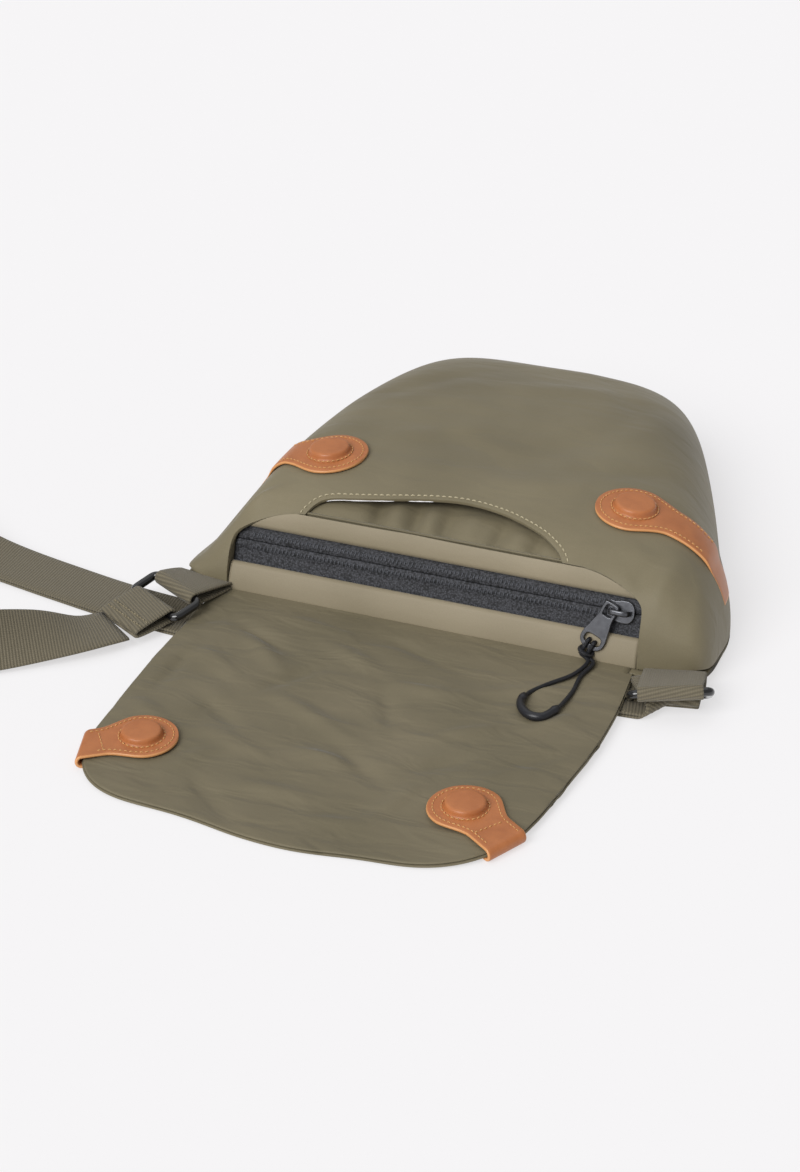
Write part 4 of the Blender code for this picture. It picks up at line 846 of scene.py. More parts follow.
def outer_face(grid, thickness, flip=False):
    """A sheet's middle surface from its outer face."""
    normal = unit(np.cross(np.gradient(grid, axis=0), np.gradient(grid, axis=1)))
    return grid - normal * thickness / 2 * (-1 if flip else 1)


window_way = unit(np.gradient(window_line, axis=0))
turning_x, turning_up = (window_line + 0.5 * np.stack([-window_way[:, 1], window_way[:, 0]], axis=1)).T
near, far = np.full(len(turning_x), -6.0), np.full(len(turning_x), 60.0)
for _ in range(30):
    middle = (near + far) / 2
    spot = on_gusset(turning_x, turning_up, middle)
    within = spot[:, 2] < dome_at(spot[:, 0], np.maximum(spot[:, 1], -BODY_LENGTH / 2))[:, 2]
    within = within & (spot[:, 1] > -BODY_LENGTH / 2)
    near, far = np.where(within, middle, near), np.where(within, far, middle)
turning_out = np.linspace(-3.4, 1, 7)[None, :]
turning_out = np.where(
    turning_out > 0, 0, turning_out
) + (near - 1.2)[:, None] * np.linspace(0, 1, 7)[None, :]
turning = slab(
    "window_turned_edge", on_gusset(turning_x[:, None], turning_up[:, None], turning_out), 0.9, olive_cloth
)
fit(turning, "bag", "olive_coated_cloth")

mouth_edge = mouth_line[mouth_line[:, 1] > -1.5]
mouth_way = unit(np.gradient(mouth_edge, axis=0))


def beside_mouth(distance):
    """The mouth's outline in plan, moved outwards."""
    x = mouth_edge[:, 0] - distance * mouth_way[:, 1]
    return x, MOUTH_Y + mouth_edge[:, 1] + distance * mouth_way[:, 0]


# Topstitching: two-ply thread along the pocket's turned edge, in the cloth's own colour but paler.


def thread_look(name, dark, pale):
    """Twisted sewing thread: slanting plies 0.5 mm apart that catch the light."""
    made, tree, shader = shader_for(name, 0.55)
    slant = number(tree, "ADD", *laid_flat(tree))
    ply = number(tree, "SINE", number(tree, "MULTIPLY", slant, math.tau / (0.5 * MM)))
    paint(tree, shader, ranged(tree, ply, -1.0, 1.0), dark, pale)
    emboss(tree, shader, ply, 0.4, 0.08)
    return made


def rod_faces(count):
    """Faces of a number of short rods, each of 7 rings of 6 points and closed at both ends."""
    one = quads(7, 6, False, True)[:, ::-1]
    first = np.arange(count) * 42
    sides = (one[None] + first[:, None, None]).reshape(-1, 4).tolist()
    starts = (first[:, None] + np.arange(6)).tolist()
    ends = (first[:, None] + np.arange(41, 35, -1)).tolist()
    return sides + starts + ends


def stitches(name, line, normal, pitch, length, radius, material):
    """A row of stitches along a line: each is a short rod that rises out of the cloth and dips back in,
    height = sin of its length, with its girth rounded off at both ends."""
    run = run_along(line)
    centre = np.arange(pitch / 2, run[-1] - length / 2, pitch)
    t = np.linspace(-1, 1, 7)
    at = centre[:, None] + t * length / 2
    spot = np.stack([np.interp(at, run, line[:, k]) for k in range(3)], axis=-1)
    up = unit(np.stack([np.interp(at, run, normal[:, k]) for k in range(3)], axis=-1))
    spot = spot + up * (radius * (1.1 * np.cos(t * math.pi / 2) - 0.45))[None, :, None]
    ahead = unit(np.gradient(spot, axis=1))
    side = unit(np.cross(up, ahead))
    lift = np.cross(ahead, side)
    turn = np.linspace(0, math.tau, 6, endpoint=False)
    girth = radius * np.sqrt(1.02 - t**4)
    ring = spot[:, :, None] + girth[None, :, None, None] * (
        side[:, :, None] * np.cos(turn)[:, None] + lift[:, :, None] * np.sin(turn)[:, None]
    )
    uv = np.stack(np.broadcast_arrays(at[:, :, None], (turn * radius)[None, None, :]), axis=-1)
    return put(name, ring, rod_faces(len(centre)), material, uv)


thread_olive = thread_look("olive_sewing_thread", "#958a6e", "#cfc5a6")
stitch_x, stitch_y = beside_mouth(2.5)
pocket_stitching = stitches(
    "pocket_topstitch", dome_at(stitch_x, stitch_y), dome_normal(stitch_x, stitch_y), 3.0, 2.15, 0.36,
    thread_olive
)
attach(pocket_stitching, "bag")
thread_web = thread_look("webbing_sewing_thread", "#6a614d", "#978c70")
for row in (3, 6):
    tail_line = tail_grid[row] + np.array([0, 0, WEBBING_THICK / 2])
    made = stitches(
        f"strap_tail_stitching_{row}", tail_line, np.broadcast_to([0.0, 0, 1.0], tail_line.shape), 2.4, 1.9,
        0.4, thread_web
    )
    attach(made, "ring_left")

# Pocket: behind the mouth the inner layer sags away from the panel in soft upright folds. Thin white glossy
# tubes lie under the left half of the turned edge and draw a thin shining line there.

FACING_HALF = 84.0
FACING_LENGTH = 130.0
facing_u, facing_v = np.meshgrid(np.linspace(-1, 1, 120), np.linspace(0, 1, 90) ** 1.6, indexing="ij")
facing_x = facing_u * FACING_HALF
facing_y = MOUTH_Y + 1.0 + facing_v * FACING_LENGTH
sag = 7.5 * (1 - facing_u**4) * np.sin(facing_v * math.pi) ** 0.7
facing_folds = [
    (-36, MOUTH_Y + 14, 100, 14, 4.6, -3.6), (-17, MOUTH_Y + 13, 97, 13, 4.2, -3.4),
    (-1, MOUTH_Y + 12, 94, 12, 4.0, -2.8), (26, MOUTH_Y + 11, 90, 11, 4.0, -2.8),
    (45, MOUTH_Y + 8, 84, 9, 3.4, -2.4), (-26, MOUTH_Y + 11, 98, 12, 4, 1.3),
    (-9, MOUTH_Y + 11, 96, 12, 4, 1.2), (12, MOUTH_Y + 11, 92, 12, 4.5, 1.3),
    (36, MOUTH_Y + 9, 86, 10, 3.6, 1.1)
]
facing_grid = dome_at(facing_x, facing_y) - dome_normal(facing_x, facing_y) * 2.6
facing_grid[..., 2] += ridges(facing_x, facing_y, facing_folds) * np.clip(facing_v / 0.03, 0, 1) - sag
pocket_facing = slab("pocket_facing_cloth", facing_grid, 1.2, olive_cloth)
fit(pocket_facing, "bag", "olive_welt_cloth", "pocket_facing")

# Shining line: white, bright, smooth and a little glossy, with fine creases along it.
shining_line_cloth, tree, shader = shader_for("white_shining_line", 0.3, "#e9e8ea")
emboss(tree, shader, blots(tree, 1.2, 2.0), 0.4, 0.2)
inside_x, inside_y = beside_mouth(-0.1)
lip = dome_at(inside_x, inside_y) - dome_normal(inside_x, inside_y) * 1.45
for name, from_x, to_x in (("pocket_shining_line_left", -61.5, -29.0), ("pocket_shining_line_middle", -22.5, -11.0)):
    shining_line_path = lip[(inside_x > from_x) & (inside_x < to_x)]
    t = np.linspace(0, 1, len(shining_line_path))
    girth = 0.12 + 0.2 * (0.7 + 0.3 * np.sin(t * 17)) * np.sin(0.05 + t * (math.pi - 0.1)) ** 0.5
    made = tube(name, shining_line_path, girth, shining_line_cloth, 8)
    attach(made, "bag")

# Back panel: the flat cloth the bag lies on, sewn to the front panel all round and to the flap at the top.

back_u, back_v = np.meshgrid(np.linspace(-1, 1, 90), np.linspace(-1, 1, 90), indexing="ij")
back_cx, back_cy = disc(back_u, back_v)
back_y = back_cy * BODY_LENGTH / 2 - 3.2 * np.maximum(-back_cy, 0) ** 12
back_grid = np.stack(
    [back_cx * half_width(back_cx > 0, back_cy, 0.0), back_y, underside(back_y) + BACK_CLOTH / 2], axis=-1
)
back_panel = slab("back_panel_cloth", back_grid, BACK_CLOTH, olive_cloth)
fit(back_panel, "bag", "olive_coated_cloth", "back_panel")

# Lining: a bag of thin grey polyester inside, open at the zip.

# Plain-woven lining: a 0.8 mm weave with a slight silky shine.
lining_cloth, tree, shader = shader_for("grey_polyester_lining", 0.5)
place = add(tree, "ShaderNodeTexCoord")
looks = {"Scale": 0.05 / 0.8 / MM, "Distortion": 1.0, "Detail": 1.0}
threads = add(tree, "ShaderNodeTexWave", {"Vector": place.outputs["Object"], **looks})
paint(tree, shader, threads.outputs[1], "#6c6a65", "#83817b")
emboss(tree, shader, threads.outputs[1], 0.3, 0.1)
lining_points, lining_faces = trimmed_dome(80, 11.0, 1.0, lambda points: outside_window(points) - 1.0)
lining = put("lining_cloth", lining_points, lining_faces, lining_cloth)
shell = lining.modifiers.new("thickness", "SOLIDIFY")
shell.thickness = 0.8 * MM
shell.offset = -1
fit(lining, "bag", "grey_lining", "main_lining")

# Zip welts: two strips of the same cloth, turned under along the zip tape. The lower one is sewn into the
# flap's seam at its foot and the upper one runs under the front panel.

# A paler copy of the body's cloth: painted light, because the welts face the front lamp more squarely than
# the top does.
welt_cloth_painted_light = coated_cloth("olive_welt_cloth", "#847a64", "#988d77", 0.5, 0.12)
WELT_COLUMNS = 160
window_side = [window_line[side * window_line[:, 0] > 64] for side in (-1, 1)]
left_side, right_side = window_side[0], window_side[1][::-1]


def across_window(up, inset):
    """Points along the zip strip at each height, from one side of the window to the other."""
    left = np.interp(up, left_side[:, 1], left_side[:, 0]) + inset
    right = np.interp(up, right_side[:, 1], right_side[:, 0]) - inset
    return left + (right - left) * np.linspace(0, 1, WELT_COLUMNS)[:, None]


foot_up = np.linspace(-0.2, 12.4, 40)
foot_out = 0.3 + 0.75 * np.sin(
    (foot_up + 0.2) / 12.6 * math.pi
) ** 0.8 - 0.9 * np.clip((foot_up - 11.2) / 1.2, 0, 1) ** 2
profile = on_gusset(np.zeros(40), foot_up, foot_out)[:, 1:]
lower_x = np.linspace(-103.4, 103.4, WELT_COLUMNS)[:, None]
lower_grid = np.stack(np.broadcast_arrays(lower_x, profile[None, :, 0], profile[None, :, 1]), axis=-1)
lower_grid = outer_face(lower_grid, 1.2, True)
upper_up = np.linspace(32.4, 41.4, 18)
upper_out = 0.1 + 0.8 * np.sin(
    (upper_up - 32.4) / 9 * math.pi * 0.85
) ** 0.8 - 0.9 * np.clip((33.4 - upper_up) / 1.0, 0, 1) ** 2
upper_grid = on_gusset(across_window(upper_up, 0.4), upper_up[None, :], upper_out[None, :])
upper_grid = outer_face(upper_grid, 1.2, True)
for name, grid in (("zip_welt_lower", lower_grid), ("zip_welt_upper", upper_grid)):
    made = slab(f"{name}_cloth", grid, 1.2, welt_cloth_painted_light)
    fit(made, "bag", "olive_welt_cloth", name)

# Zip: charcoal woven tape with a nylon coil sewn to its hidden side, so only a slit shows and, beside it,
# the rows of stitches that hold the coil. Metal stops end it and the slider runs in it.

# Woven zip tape: a speckled twill of about 1 mm in dark polyester.
tape_weave, tree, shader = shader_for("charcoal_zip_tape", 0.75)
flat = add(tree, "ShaderNodeUVMap", uv_map="laid_flat")
twill = add(
    tree, "ShaderNodeTexVoronoi", {"Vector": flat.outputs[0], "Scale": 1 / 0.9 / MM, "Randomness": 0.75}
)
looks = {"Scale": 1 / 1.1 / MM, "Detail": 3.0, "Roughness": 0.7}
blot = add(tree, "ShaderNodeTexNoise", {"Vector": flat.outputs[0], **looks})
mixed = number(tree, "MULTIPLY_ADD", blot.outputs[0], 1.1, twill.outputs[0])
paint(tree, shader, ranged(tree, mixed, 0.55, 1.35), "#505157", "#111215")
emboss(tree, shader, mixed, 0.5, 0.15, invert=True)
ZIP_MIDDLE = 24.3
TAPE_SLIT = 1.1
TAPE_OUT = -2.4


def tape_rise(up):
    """How far the tape swells over the hidden coil on each side of the slit."""
    return 0.75 * np.exp(-(((np.abs(up - ZIP_MIDDLE) - 2.2) / 1.9) ** 2))


for name, low, high in (
    ("zip_tape_lower", 6.4, ZIP_MIDDLE - TAPE_SLIT / 2),
    ("zip_tape_upper", ZIP_MIDDLE + TAPE_SLIT / 2, 38.4)
):
    up = np.linspace(low, high, 28)
    grid = on_gusset(across_window(up, 0.5), up[None, :], TAPE_OUT + tape_rise(up)[None, :])
    made = slab(f"{name}_weave", grid, 1.0, tape_weave)
    fit(made, "bag", "charcoal_zip_tape", name)

coil_thread = thread_look("charcoal_coil_thread", "#303237", "#5b5d64")
TICK_PITCH = 1.95
tick_x = np.arange(-94, 84, TICK_PITCH)
for name, low, high in (
    ("coil_stitches_lower", ZIP_MIDDLE - 4.4, ZIP_MIDDLE - 1.5),
    ("coil_stitches_upper", ZIP_MIDDLE + 1.5, ZIP_MIDDLE + 4.4)
):
    t = np.linspace(-1, 1, 7)
    up = (low + high) / 2 + (high - low) / 2 * t
    lift = TAPE_OUT + 0.62 + tape_rise(up) - 0.4 * t**4
    spot = on_gusset(tick_x[:, None] + 0.18 * t[None, :], up[None, :], lift[None, :])
    turn = np.linspace(0, math.tau, 6, endpoint=False)
    girth = 0.42 * np.sqrt(1.02 - t**4)
    ring = spot[:, :, None] + girth[None, :, None, None] * (
        np.array([-1.0, 0, 0]) * np.cos(turn)[:, None] + GUSSET_OUT * np.sin(turn)[:, None]
    )
    uv = np.stack(
        np.broadcast_arrays(up[None, :, None], (tick_x[:, None] + 0 * t)[:, :, None] + turn * 0.4), axis=-1
    )
    made = put(name, ring, rod_faces(len(tick_x)), coil_thread, uv)
    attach(made, "bag")

# Moulded nylon: near black, with a dull drawn shine.
nylon, tree, shader = shader_for("black_nylon_coil", 0.42)
paint(tree, shader, blots(tree, 0.8, 1.0), "#141417", "#26262a")

# Dark nickel plate: satin, with a cloudy shine that shifts every 2.5 mm or so.
nickel, tree, shader = shader_for("dark_nickel_plate", 0.3)
haze = blots(tree, 2.5, 4.0, 0.65)
paint(tree, shader, haze, "#55565a", "#707175")
tree.links.new(ranged(tree, haze, 0.0, 1.0, 0.24, 0.42), shader.inputs["Roughness"])
shader.inputs["Metallic"].default_value = 1.0


def dress(nodes, material):
    """Give CAD nodes that are shown as they are their material."""
    for node in nodes:
        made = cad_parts[node]
        made.data.materials.clear()
        made.data.materials.append(material)


dress(("zip_coil_lower", "zip_coil_upper"), nylon)
dress(("zip_stop_bottom", "zip_stop_top_lower", "zip_stop_top_upper"), nickel)

# Slider and pull tab: die-cast metal, plated dark nickel. The slider's bridge carries the flat tab, which
# has a window at its top, a slot for the cord at its foot, and no lettering here.

SLIDER_X = 92.7


def plate(name, outlines, thickness, bevel, origin, axes, material):
    """A flat piece filled between closed outlines with eased edges, set on three axes at an origin."""
    curve = bpy.data.curves.new(name, "CURVE")
    curve.dimensions = "2D"
    curve.fill_mode = "BOTH"
    curve.extrude = thickness / 2 - bevel
    curve.bevel_depth = bevel
    curve.bevel_resolution = 2
    curve.offset = -bevel
    for outline in outlines:
        spline = curve.splines.new("POLY")
        spline.points.add(len(outline) - 1)
        flat_z = np.column_stack(
            [np.asarray(outline, dtype=float), np.zeros(len(outline)), np.ones(len(outline))]
        )
        spline.points.foreach_set("co", flat_z.ravel())
        spline.use_cyclic_u = True
    holder = bpy.data.objects.new(name, curve)
    bpy.context.scene.collection.objects.link(holder)
    bpy.context.view_layer.update()
    mesh = bpy.data.meshes.new_from_object(holder.evaluated_get(bpy.context.evaluated_depsgraph_get()))
    bpy.data.objects.remove(holder)
    spots = np.empty(len(mesh.vertices) * 3)
    mesh.vertices.foreach_get("co", spots)
    mesh.vertices.foreach_set(
        "co", ((np.asarray(origin) + spots.reshape(-1, 3) @ np.asarray(axes)) * MM).ravel()
    )
    mesh.materials.clear()
    mesh.materials.append(material)
    mesh.name = name
    mesh.update()
    made = bpy.data.objects.new(name, mesh)
    bpy.context.scene.collection.objects.link(made)
    return made


def rounded_outline(points, count=72):
    """A smooth closed outline through points."""
    keys = np.vstack([points, points[:1]])
    padded = np.vstack([points[-1:], keys, points[1:2]])
    return np.vstack(curve_runs(padded, max(2, count // len(points))))


slider_origin = on_gusset(SLIDER_X, ZIP_MIDDLE, 0.0)
slider_axes = np.array([[1.0, 0, 0], GUSSET_UP, GUSSET_OUT])
upper_outline = rounded_outline(
    np.array(
        [
            (-6.4, -4.3), (-3.2, -4.7), (0.6, -5.4), (4.2, -4.9), (6.3, -2.2), (6.3, 2.2), (4.2, 4.9),
            (0.6, 5.4), (-3.2, 4.7), (-6.4, 4.3)
        ]
    )
)
slider_top = plate(
    "slider_upper_plate", [upper_outline], 1.0, 0.35, slider_origin + GUSSET_OUT * 0.02, slider_axes, nickel
)
slider_foot = plate(
    "slider_lower_plate", [upper_outline], 1.4, 0.35, slider_origin + GUSSET_OUT * -6.2, slider_axes, nickel
)
BRIDGE_WIDE = 2.6
bridge_line = smooth_route(
    [(-5.0, 0.3), (-5.1, 2.4), (-4.2, 4.8), (-1.8, 5.5), (1.6, 5.5), (3.6, 4.6), (4.4, 2.4), (4.4, 0.3)], 40
)
bridge_points = slider_origin + bridge_line[:, :1] * slider_axes[0] + bridge_line[:, 1:] * slider_axes[2]
bridge_grid = bridge_points[:, None] + np.linspace(-1, 1, 7)[None, :, None] * (
    BRIDGE_WIDE - 1.2
) / 2 * slider_axes[1]
slider_bridge = slab("slider_bridge", bridge_grid, 1.2, nickel)
slider_web = plate(
    "slider_web", [rounded(0.6, 5.6, -0.25, 0.25, 0.2, 3)], 6.2, 0.05, slider_origin + GUSSET_OUT * -3.45,
    slider_axes, nickel
)
for made in (slider_top, slider_foot, slider_bridge, slider_web):
    fit(made, "zip_slider", "dark_nickel")
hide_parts("zip_slider")

PULL_YAW = math.radians(-22)
pull_origin = slider_origin - 4.95 * slider_axes[0] + 3.3 * GUSSET_OUT
pull_x = math.cos(PULL_YAW) * slider_axes[0] + math.sin(PULL_YAW) * GUSSET_UP
pull_y = -math.sin(PULL_YAW) * slider_axes[0] + math.cos(PULL_YAW) * GUSSET_UP
pull_axes = np.array([pull_x, pull_y, GUSSET_OUT])
pull_outline = rounded_outline(
    np.array(
        [
            (-2.7, 3.8), (-3.8, 2.0), (-3.9, -3.9), (-5.0, -9.0), (-6.2, -14.9), (-5.6, -18.2),
            (-3.2, -20.3), (0, -20.7), (3.2, -20.3), (5.6, -18.2), (6.2, -14.9), (5.0, -9.0), (3.9, -3.9),
            (3.8, 2.0), (2.7, 3.8)
        ]
    ),
    90
)
pull_window = rounded(-2.3, 2.3, -2.9, 2.7, 1.1, 5)
pull_slot = rounded(-4.2, 4.2, -18.2, -13.6, 1.9, 6)
pull_tab = plate(
    "pull_tab", [pull_outline, pull_window, pull_slot], 1.4, 0.35, pull_origin, pull_axes, nickel
)
fit(pull_tab, "zip_puller", "dark_nickel", "zip_puller")

# Pull cord: black braided cord, hitched through the tab's slot and tied, its two ends held in a moulded
# rubber grip bent like a horseshoe.

HINGE_Y = SEAM_Y - 3.5
HINGE_Z = 6.5

# Braided cord: crossing strands about 1 mm across that break the highlight into a diamond pattern.
braid, tree, shader = shader_for("black_braided_cord", 0.5, "#141519")
run_flat, across_flat = laid_flat(tree)
waves = []
for sign in (1.0, -1.0):
    lean_sum = number(tree, "MULTIPLY_ADD", across_flat, sign, run_flat)
    waves.append(number(tree, "SINE", number(tree, "MULTIPLY", lean_sum, math.tau / (1.05 * MM))))
cross = number(tree, "MULTIPLY", *waves)
paint(tree, shader, cross, "#121318", "#2b2c32")
emboss(tree, shader, cross, 0.6, 0.15)


def on_tab(x, y, z):
    """A point on the pull tab: across it, up it, and out from its face."""
    return pull_origin + x * pull_x + y * pull_y + z * GUSSET_OUT


KNOT_Y = -22.4
hitch_keys = [
    on_tab(-1.5, KNOT_Y - 1.2, 0.4), on_tab(-1.5, KNOT_Y + 0.8, 1.6), on_tab(-1.5, -19.6, 2.1),
    on_tab(-1.5, -17.2, 1.6), on_tab(-1.5, -16.5, 0.0), on_tab(-1.7, -17.6, -1.8),
    on_tab(-2.4, -20.6, -2.0), on_tab(-3.2, KNOT_Y - 0.2, 0.2), on_tab(-1.8, KNOT_Y - 0.4, 2.9),
    on_tab(0, KNOT_Y - 0.4, 3.4), on_tab(1.8, KNOT_Y - 0.4, 2.9), on_tab(3.2, KNOT_Y - 0.2, 0.2),
    on_tab(2.4, -20.6, -2.0), on_tab(1.7, -17.6, -1.8), on_tab(1.5, -16.5, 0.0), on_tab(1.5, -17.2, 1.6),
    on_tab(1.5, -19.6, 2.1), on_tab(1.5, KNOT_Y + 0.8, 1.6), on_tab(1.5, KNOT_Y - 1.2, 0.4)
]
hitch = tube(
    "pull_cord_hitch", smooth_route(hitch_keys, 120), 1.0, braid, 12, False,
    pull_x * 0.3 + np.array([0.2, 0.5, 0.8])
)
fit(hitch, "zip_puller", "black_cord", "pull_cord_bight")
LIE = HINGE_Z + 1.3
GRIP_LIE = HINGE_Z + 2.4
left_keys = np.vstack(
    [
        on_tab(-1.5, KNOT_Y + 0.4, 1.4), on_tab(-1.6, KNOT_Y - 2.0, 0.6), (82.0, HINGE_Y - 1.0, LIE + 1.0),
        (79.0, HINGE_Y - 13.5, LIE + 0.3), (70.9, HINGE_Y - 25.5, LIE), (66.0, HINGE_Y - 35.5, LIE + 0.4),
        (65.0, HINGE_Y - 42.5, GRIP_LIE)
    ]
)
right_keys = np.vstack(
    [
        on_tab(1.5, KNOT_Y + 0.4, 1.4), on_tab(1.5, KNOT_Y - 2.0, 0.6), (84.6, HINGE_Y - 1.0, LIE + 0.6),
        (82.6, HINGE_Y - 13.0, LIE), (83.6, HINGE_Y - 26.6, LIE), (83.2, HINGE_Y - 38.1, LIE + 0.4),
        (82.4, HINGE_Y - 47.5, GRIP_LIE)
    ]
)
grip_keys = [
    (64.8, HINGE_Y - 41.0, GRIP_LIE), (65.2, HINGE_Y - 46.5, GRIP_LIE), (68.4, HINGE_Y - 52.4, GRIP_LIE),
    (73.6, HINGE_Y - 56.0, GRIP_LIE), (79.0, HINGE_Y - 54.6, GRIP_LIE), (82.4, HINGE_Y - 46.0, GRIP_LIE)
]

# Moulded rubber: smooth and near black, with a soft satin sheen and a fine dulled grain.
rubber, tree, shader = shader_for("black_moulded_rubber", 0.38)
bloom = blots(tree, 0.6, 2.0)
paint(tree, shader, bloom, "#131318", "#202127")
emboss(tree, shader, bloom, 0.12, 0.1)
grip_line = smooth_route(grip_keys, 60)
grip_part = np.linspace(0, 1, 60)
collar = np.exp(-(((grip_part - 0.05) / 0.035) ** 2)) + np.exp(-(((grip_part - 0.95) / 0.035) ** 2))
grip = tube(
    "pull_cord_grip_moulding", grip_line, 1.75 + 0.35 * np.sin(grip_part * math.pi) + 0.3 * collar, rubber,
    20
)
fit(grip, "pull_loop", "black_rubber", "pull_cord_grip")
for name, keys in (("pull_cord_left", left_keys), ("pull_cord_right", right_keys)):
    line = smooth_route(keys, 70)
    made = tube(f"{name}_strand", line, 1.0, braid, 12)
    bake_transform(made)
    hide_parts(name)

# Flap: two layers of the olive cloth sewn face to face and turned out, with a rolled seam at the edge and
# no topstitching. It lies open, its inner side up, and is creased where it folds over the bag.

FLAP_STRAIGHT = 106.0
FLAP_END = 78.0
FLAP_LEFT = 109.0
FLAP_RIGHT = 107.3
FOLD_AT = 62.755
FLAP_LAYER = 1.15
MAGNET_X = 78.0
SLOPE = math.radians(1.0)
# Its tones are darker than the body's, though it is the same cloth: painted shade. The seam strip below takes
# them too.
flap_cloth_painted_shade = coated_cloth("olive_flap_cloth_painted_shade", "#655e49", "#79705a", 0.5, 0.75)
flap_folds = [
    (-96, 71, -86, 22, 4.68, -1.62), (-99, 23, -58, 16, 4.68, -1.76), (-68, 32, 26, 24, 4.68, -2.43),
    (-42, 61, -57, 16, 4.68, -2.03), (-32, 166, 40, 20, 4.68, -1.76), (15, 117, 34, 18, 4.68, -2.03),
    (-63, 44, 42, 20, 4.68, 2.16), (-22, 34, 24, 20, 4.68, 2.16), (-22, 87, 25, 22, 4.68, 2.29),
    (22, 50, -2, 18, 4.68, 2.03), (50, 77, -35, 16, 4.68, 2.03), (-3, 118, -1, 14, 4.68, 1.89),
    (41, 137, -72, 14, 4.68, 1.89), (84, 55, -53, 18, 4.68, 1.76), (87, 85, -42, 18, 4.68, -1.62),
    (-10, 148, 1, 18, 4.68, 1.89), (-57, 138, -50, 12, 4.68, 1.62), (-92, 109, 26, 12, 4.68, 1.35),
    (50, 103, -39, 14, 4.68, -1.89), (10, 70, 62, 18, 4.68, -1.76), (-80, 60, 30, 20, 5.46, 1.62),
    (-48, 14, 12, 22, 3.9, 1.35), (10, 20, 20, 24, 4.68, -1.62), (62, 34, -24, 20, 4.68, 1.62),
    (-60, 100, 35, 18, 4.68, -1.76), (70, 112, -60, 14, 4.68, 1.49), (-44, 120, 18, 16, 4.68, 1.62),
    (24, 160, -12, 18, 4.68, 1.35)
]


def flap_reach(u):
    """How far the flap's end curve lies from the hinge: 106 + 78 (1 - |u| to the n) to the 1/n, where n is
    3.7 on the left and 3 on the right, whose corner is rounder, less two shallow curls of the end."""
    power = np.where(u < 0, 3.7, 3.0)
    curl = 6.5 * np.exp(-(((u + 0.45) / 0.3) ** 2)) + 3.5 * np.exp(-(((u - 0.4) / 0.22) ** 2))
    return FLAP_STRAIGHT + FLAP_END * np.maximum(1 - np.abs(u) ** power, 0) ** (1 / power) - curl


def flap_half(u, distance):
    """Half-width of the flap on its left or right side, at a distance from the hinge."""
    left = FLAP_LEFT - 3 * np.exp(-distance / 6) - 2.5 * eased((distance - 60) / 75)
    right = FLAP_RIGHT - 4 * (1 - np.clip(distance / 60, 0, 1)) ** 2 - 5 * eased((distance - 55) / 80)
    return np.where(u < 0, left, right)


def flap_layer(name, grow, drop):
    """One layer of the flap. Columns run from the hinge to the end curve. The surface sags to the floor at
    its end, stays up round the two tabs, and has soft creases."""
    t = np.linspace(-1, 1, 170)
    u = np.sin(t * math.pi / 2)[None, :]
    end = flap_reach(u) + grow
    turn = np.linspace(0, math.pi / 2, 6)[1:, None]
    distance = np.concatenate([np.linspace(0, 1, 170)[:, None] * (end - 1.0), end - 1.0 + np.sin(turn)])
    thin = np.concatenate([np.ones(170), np.maximum(np.cos(turn[:, 0]), 0.03)])[:, None]
    x = u * (flap_half(u, distance) + grow)
    inside = np.minimum(end - distance, (1 - np.abs(u)) * FLAP_RIGHT)
    by_tab = np.exp(-(((np.abs(x + 5) - 88) ** 2 + (distance - 142) ** 2) / 26**2))
    part = np.clip((distance - 112) / 62, 0, 1)
    sag = 1.9 * eased(part) * (1 - by_tab)
    roll = 0.9 * np.exp(-inside / 5) * np.clip((distance - 8) / 20, 0, 1) * (1 - by_tab)
    z = HINGE_Z - drop - np.maximum(distance - FOLD_AT, 0) * math.sin(SLOPE) - sag - roll * (1 - part)
    z = z + ridges(
        x, distance, flap_folds
    ) * np.clip(distance / 14, 0, 1) * np.clip(inside / 16 + 0.2, 0, 1) * (1 - by_tab)
    grid = np.stack([x, HINGE_Y - 0.2 - distance, z], axis=-1)
    return slab(name, grid, FLAP_LAYER * thin, flap_cloth_painted_shade), grid


seam_profile = smooth_route([(-123.6, 7.2), (-125, 6.86), (-127, 6.68), (-129, 6.55), (-130.6, 6.46)], 14)
seam_x = np.linspace(-103.2, 101.4, 60)[:, None]
seam_grid = np.stack(np.broadcast_arrays(seam_x, seam_profile[None, :, 0], seam_profile[None, :, 1]), axis=-1)
flap_seam = slab("flap_seam_turning", seam_grid, np.linspace(0.3, 0.08, 14)[None, :], flap_cloth_painted_shade)
fit(flap_seam, "bag", "olive_coated_cloth")
flap_lining, flap_grid = flap_layer("flap_lining_cloth", 0.0, FLAP_LAYER / 2)
flap_outer, _ = flap_layer("flap_outer_cloth", 0.5, FLAP_LAYER * 1.5 + 0.1)
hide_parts("flap_spine_lining", "flap_lining")
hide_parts("flap_spine_outer", "flap_outer")
for made in (flap_lining, flap_outer):
    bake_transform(made)

# Leather tabs: vegetable-tanned straps with a magnet under a moulded pod. The two on the bag run over its
# sides; the two on the flap go round its edge. All are saddle-stitched along both edges and round the pod.

TAB = 1.6
TAB_HEAD = 18.5
TAB_HALF = 11.5
TAB_NECK = 21.0
TAB_SEAT = 0.45
TAB_INSET = 2.3
TAB_RUN_DOWN = 20.0
SKIVE_LENGTH = 10.0
POD_SHIFT = 4.0
POD_SIDES = 56
POD_RINGS = 44
SIDE_STEP = 0.5

# Vegetable-tanned leather: warm tan, cloudy over 8 mm, with a fine grain of about 0.7 mm, a waxed shine,
# and pale rims: the raw edges' own paler tone, with a painted highlight along them.
leather, tree, shader = shader_for("tan_leather", 0.42)
place = add(tree, "ShaderNodeTexCoord")
grain = add(tree, "ShaderNodeTexVoronoi", {"Vector": place.outputs["Object"], "Scale": 1 / 0.7 / MM})
cloud = blots(tree, 8, 4.0, 0.6)
edge = add(tree, "ShaderNodeAttribute", attribute_name="rim")
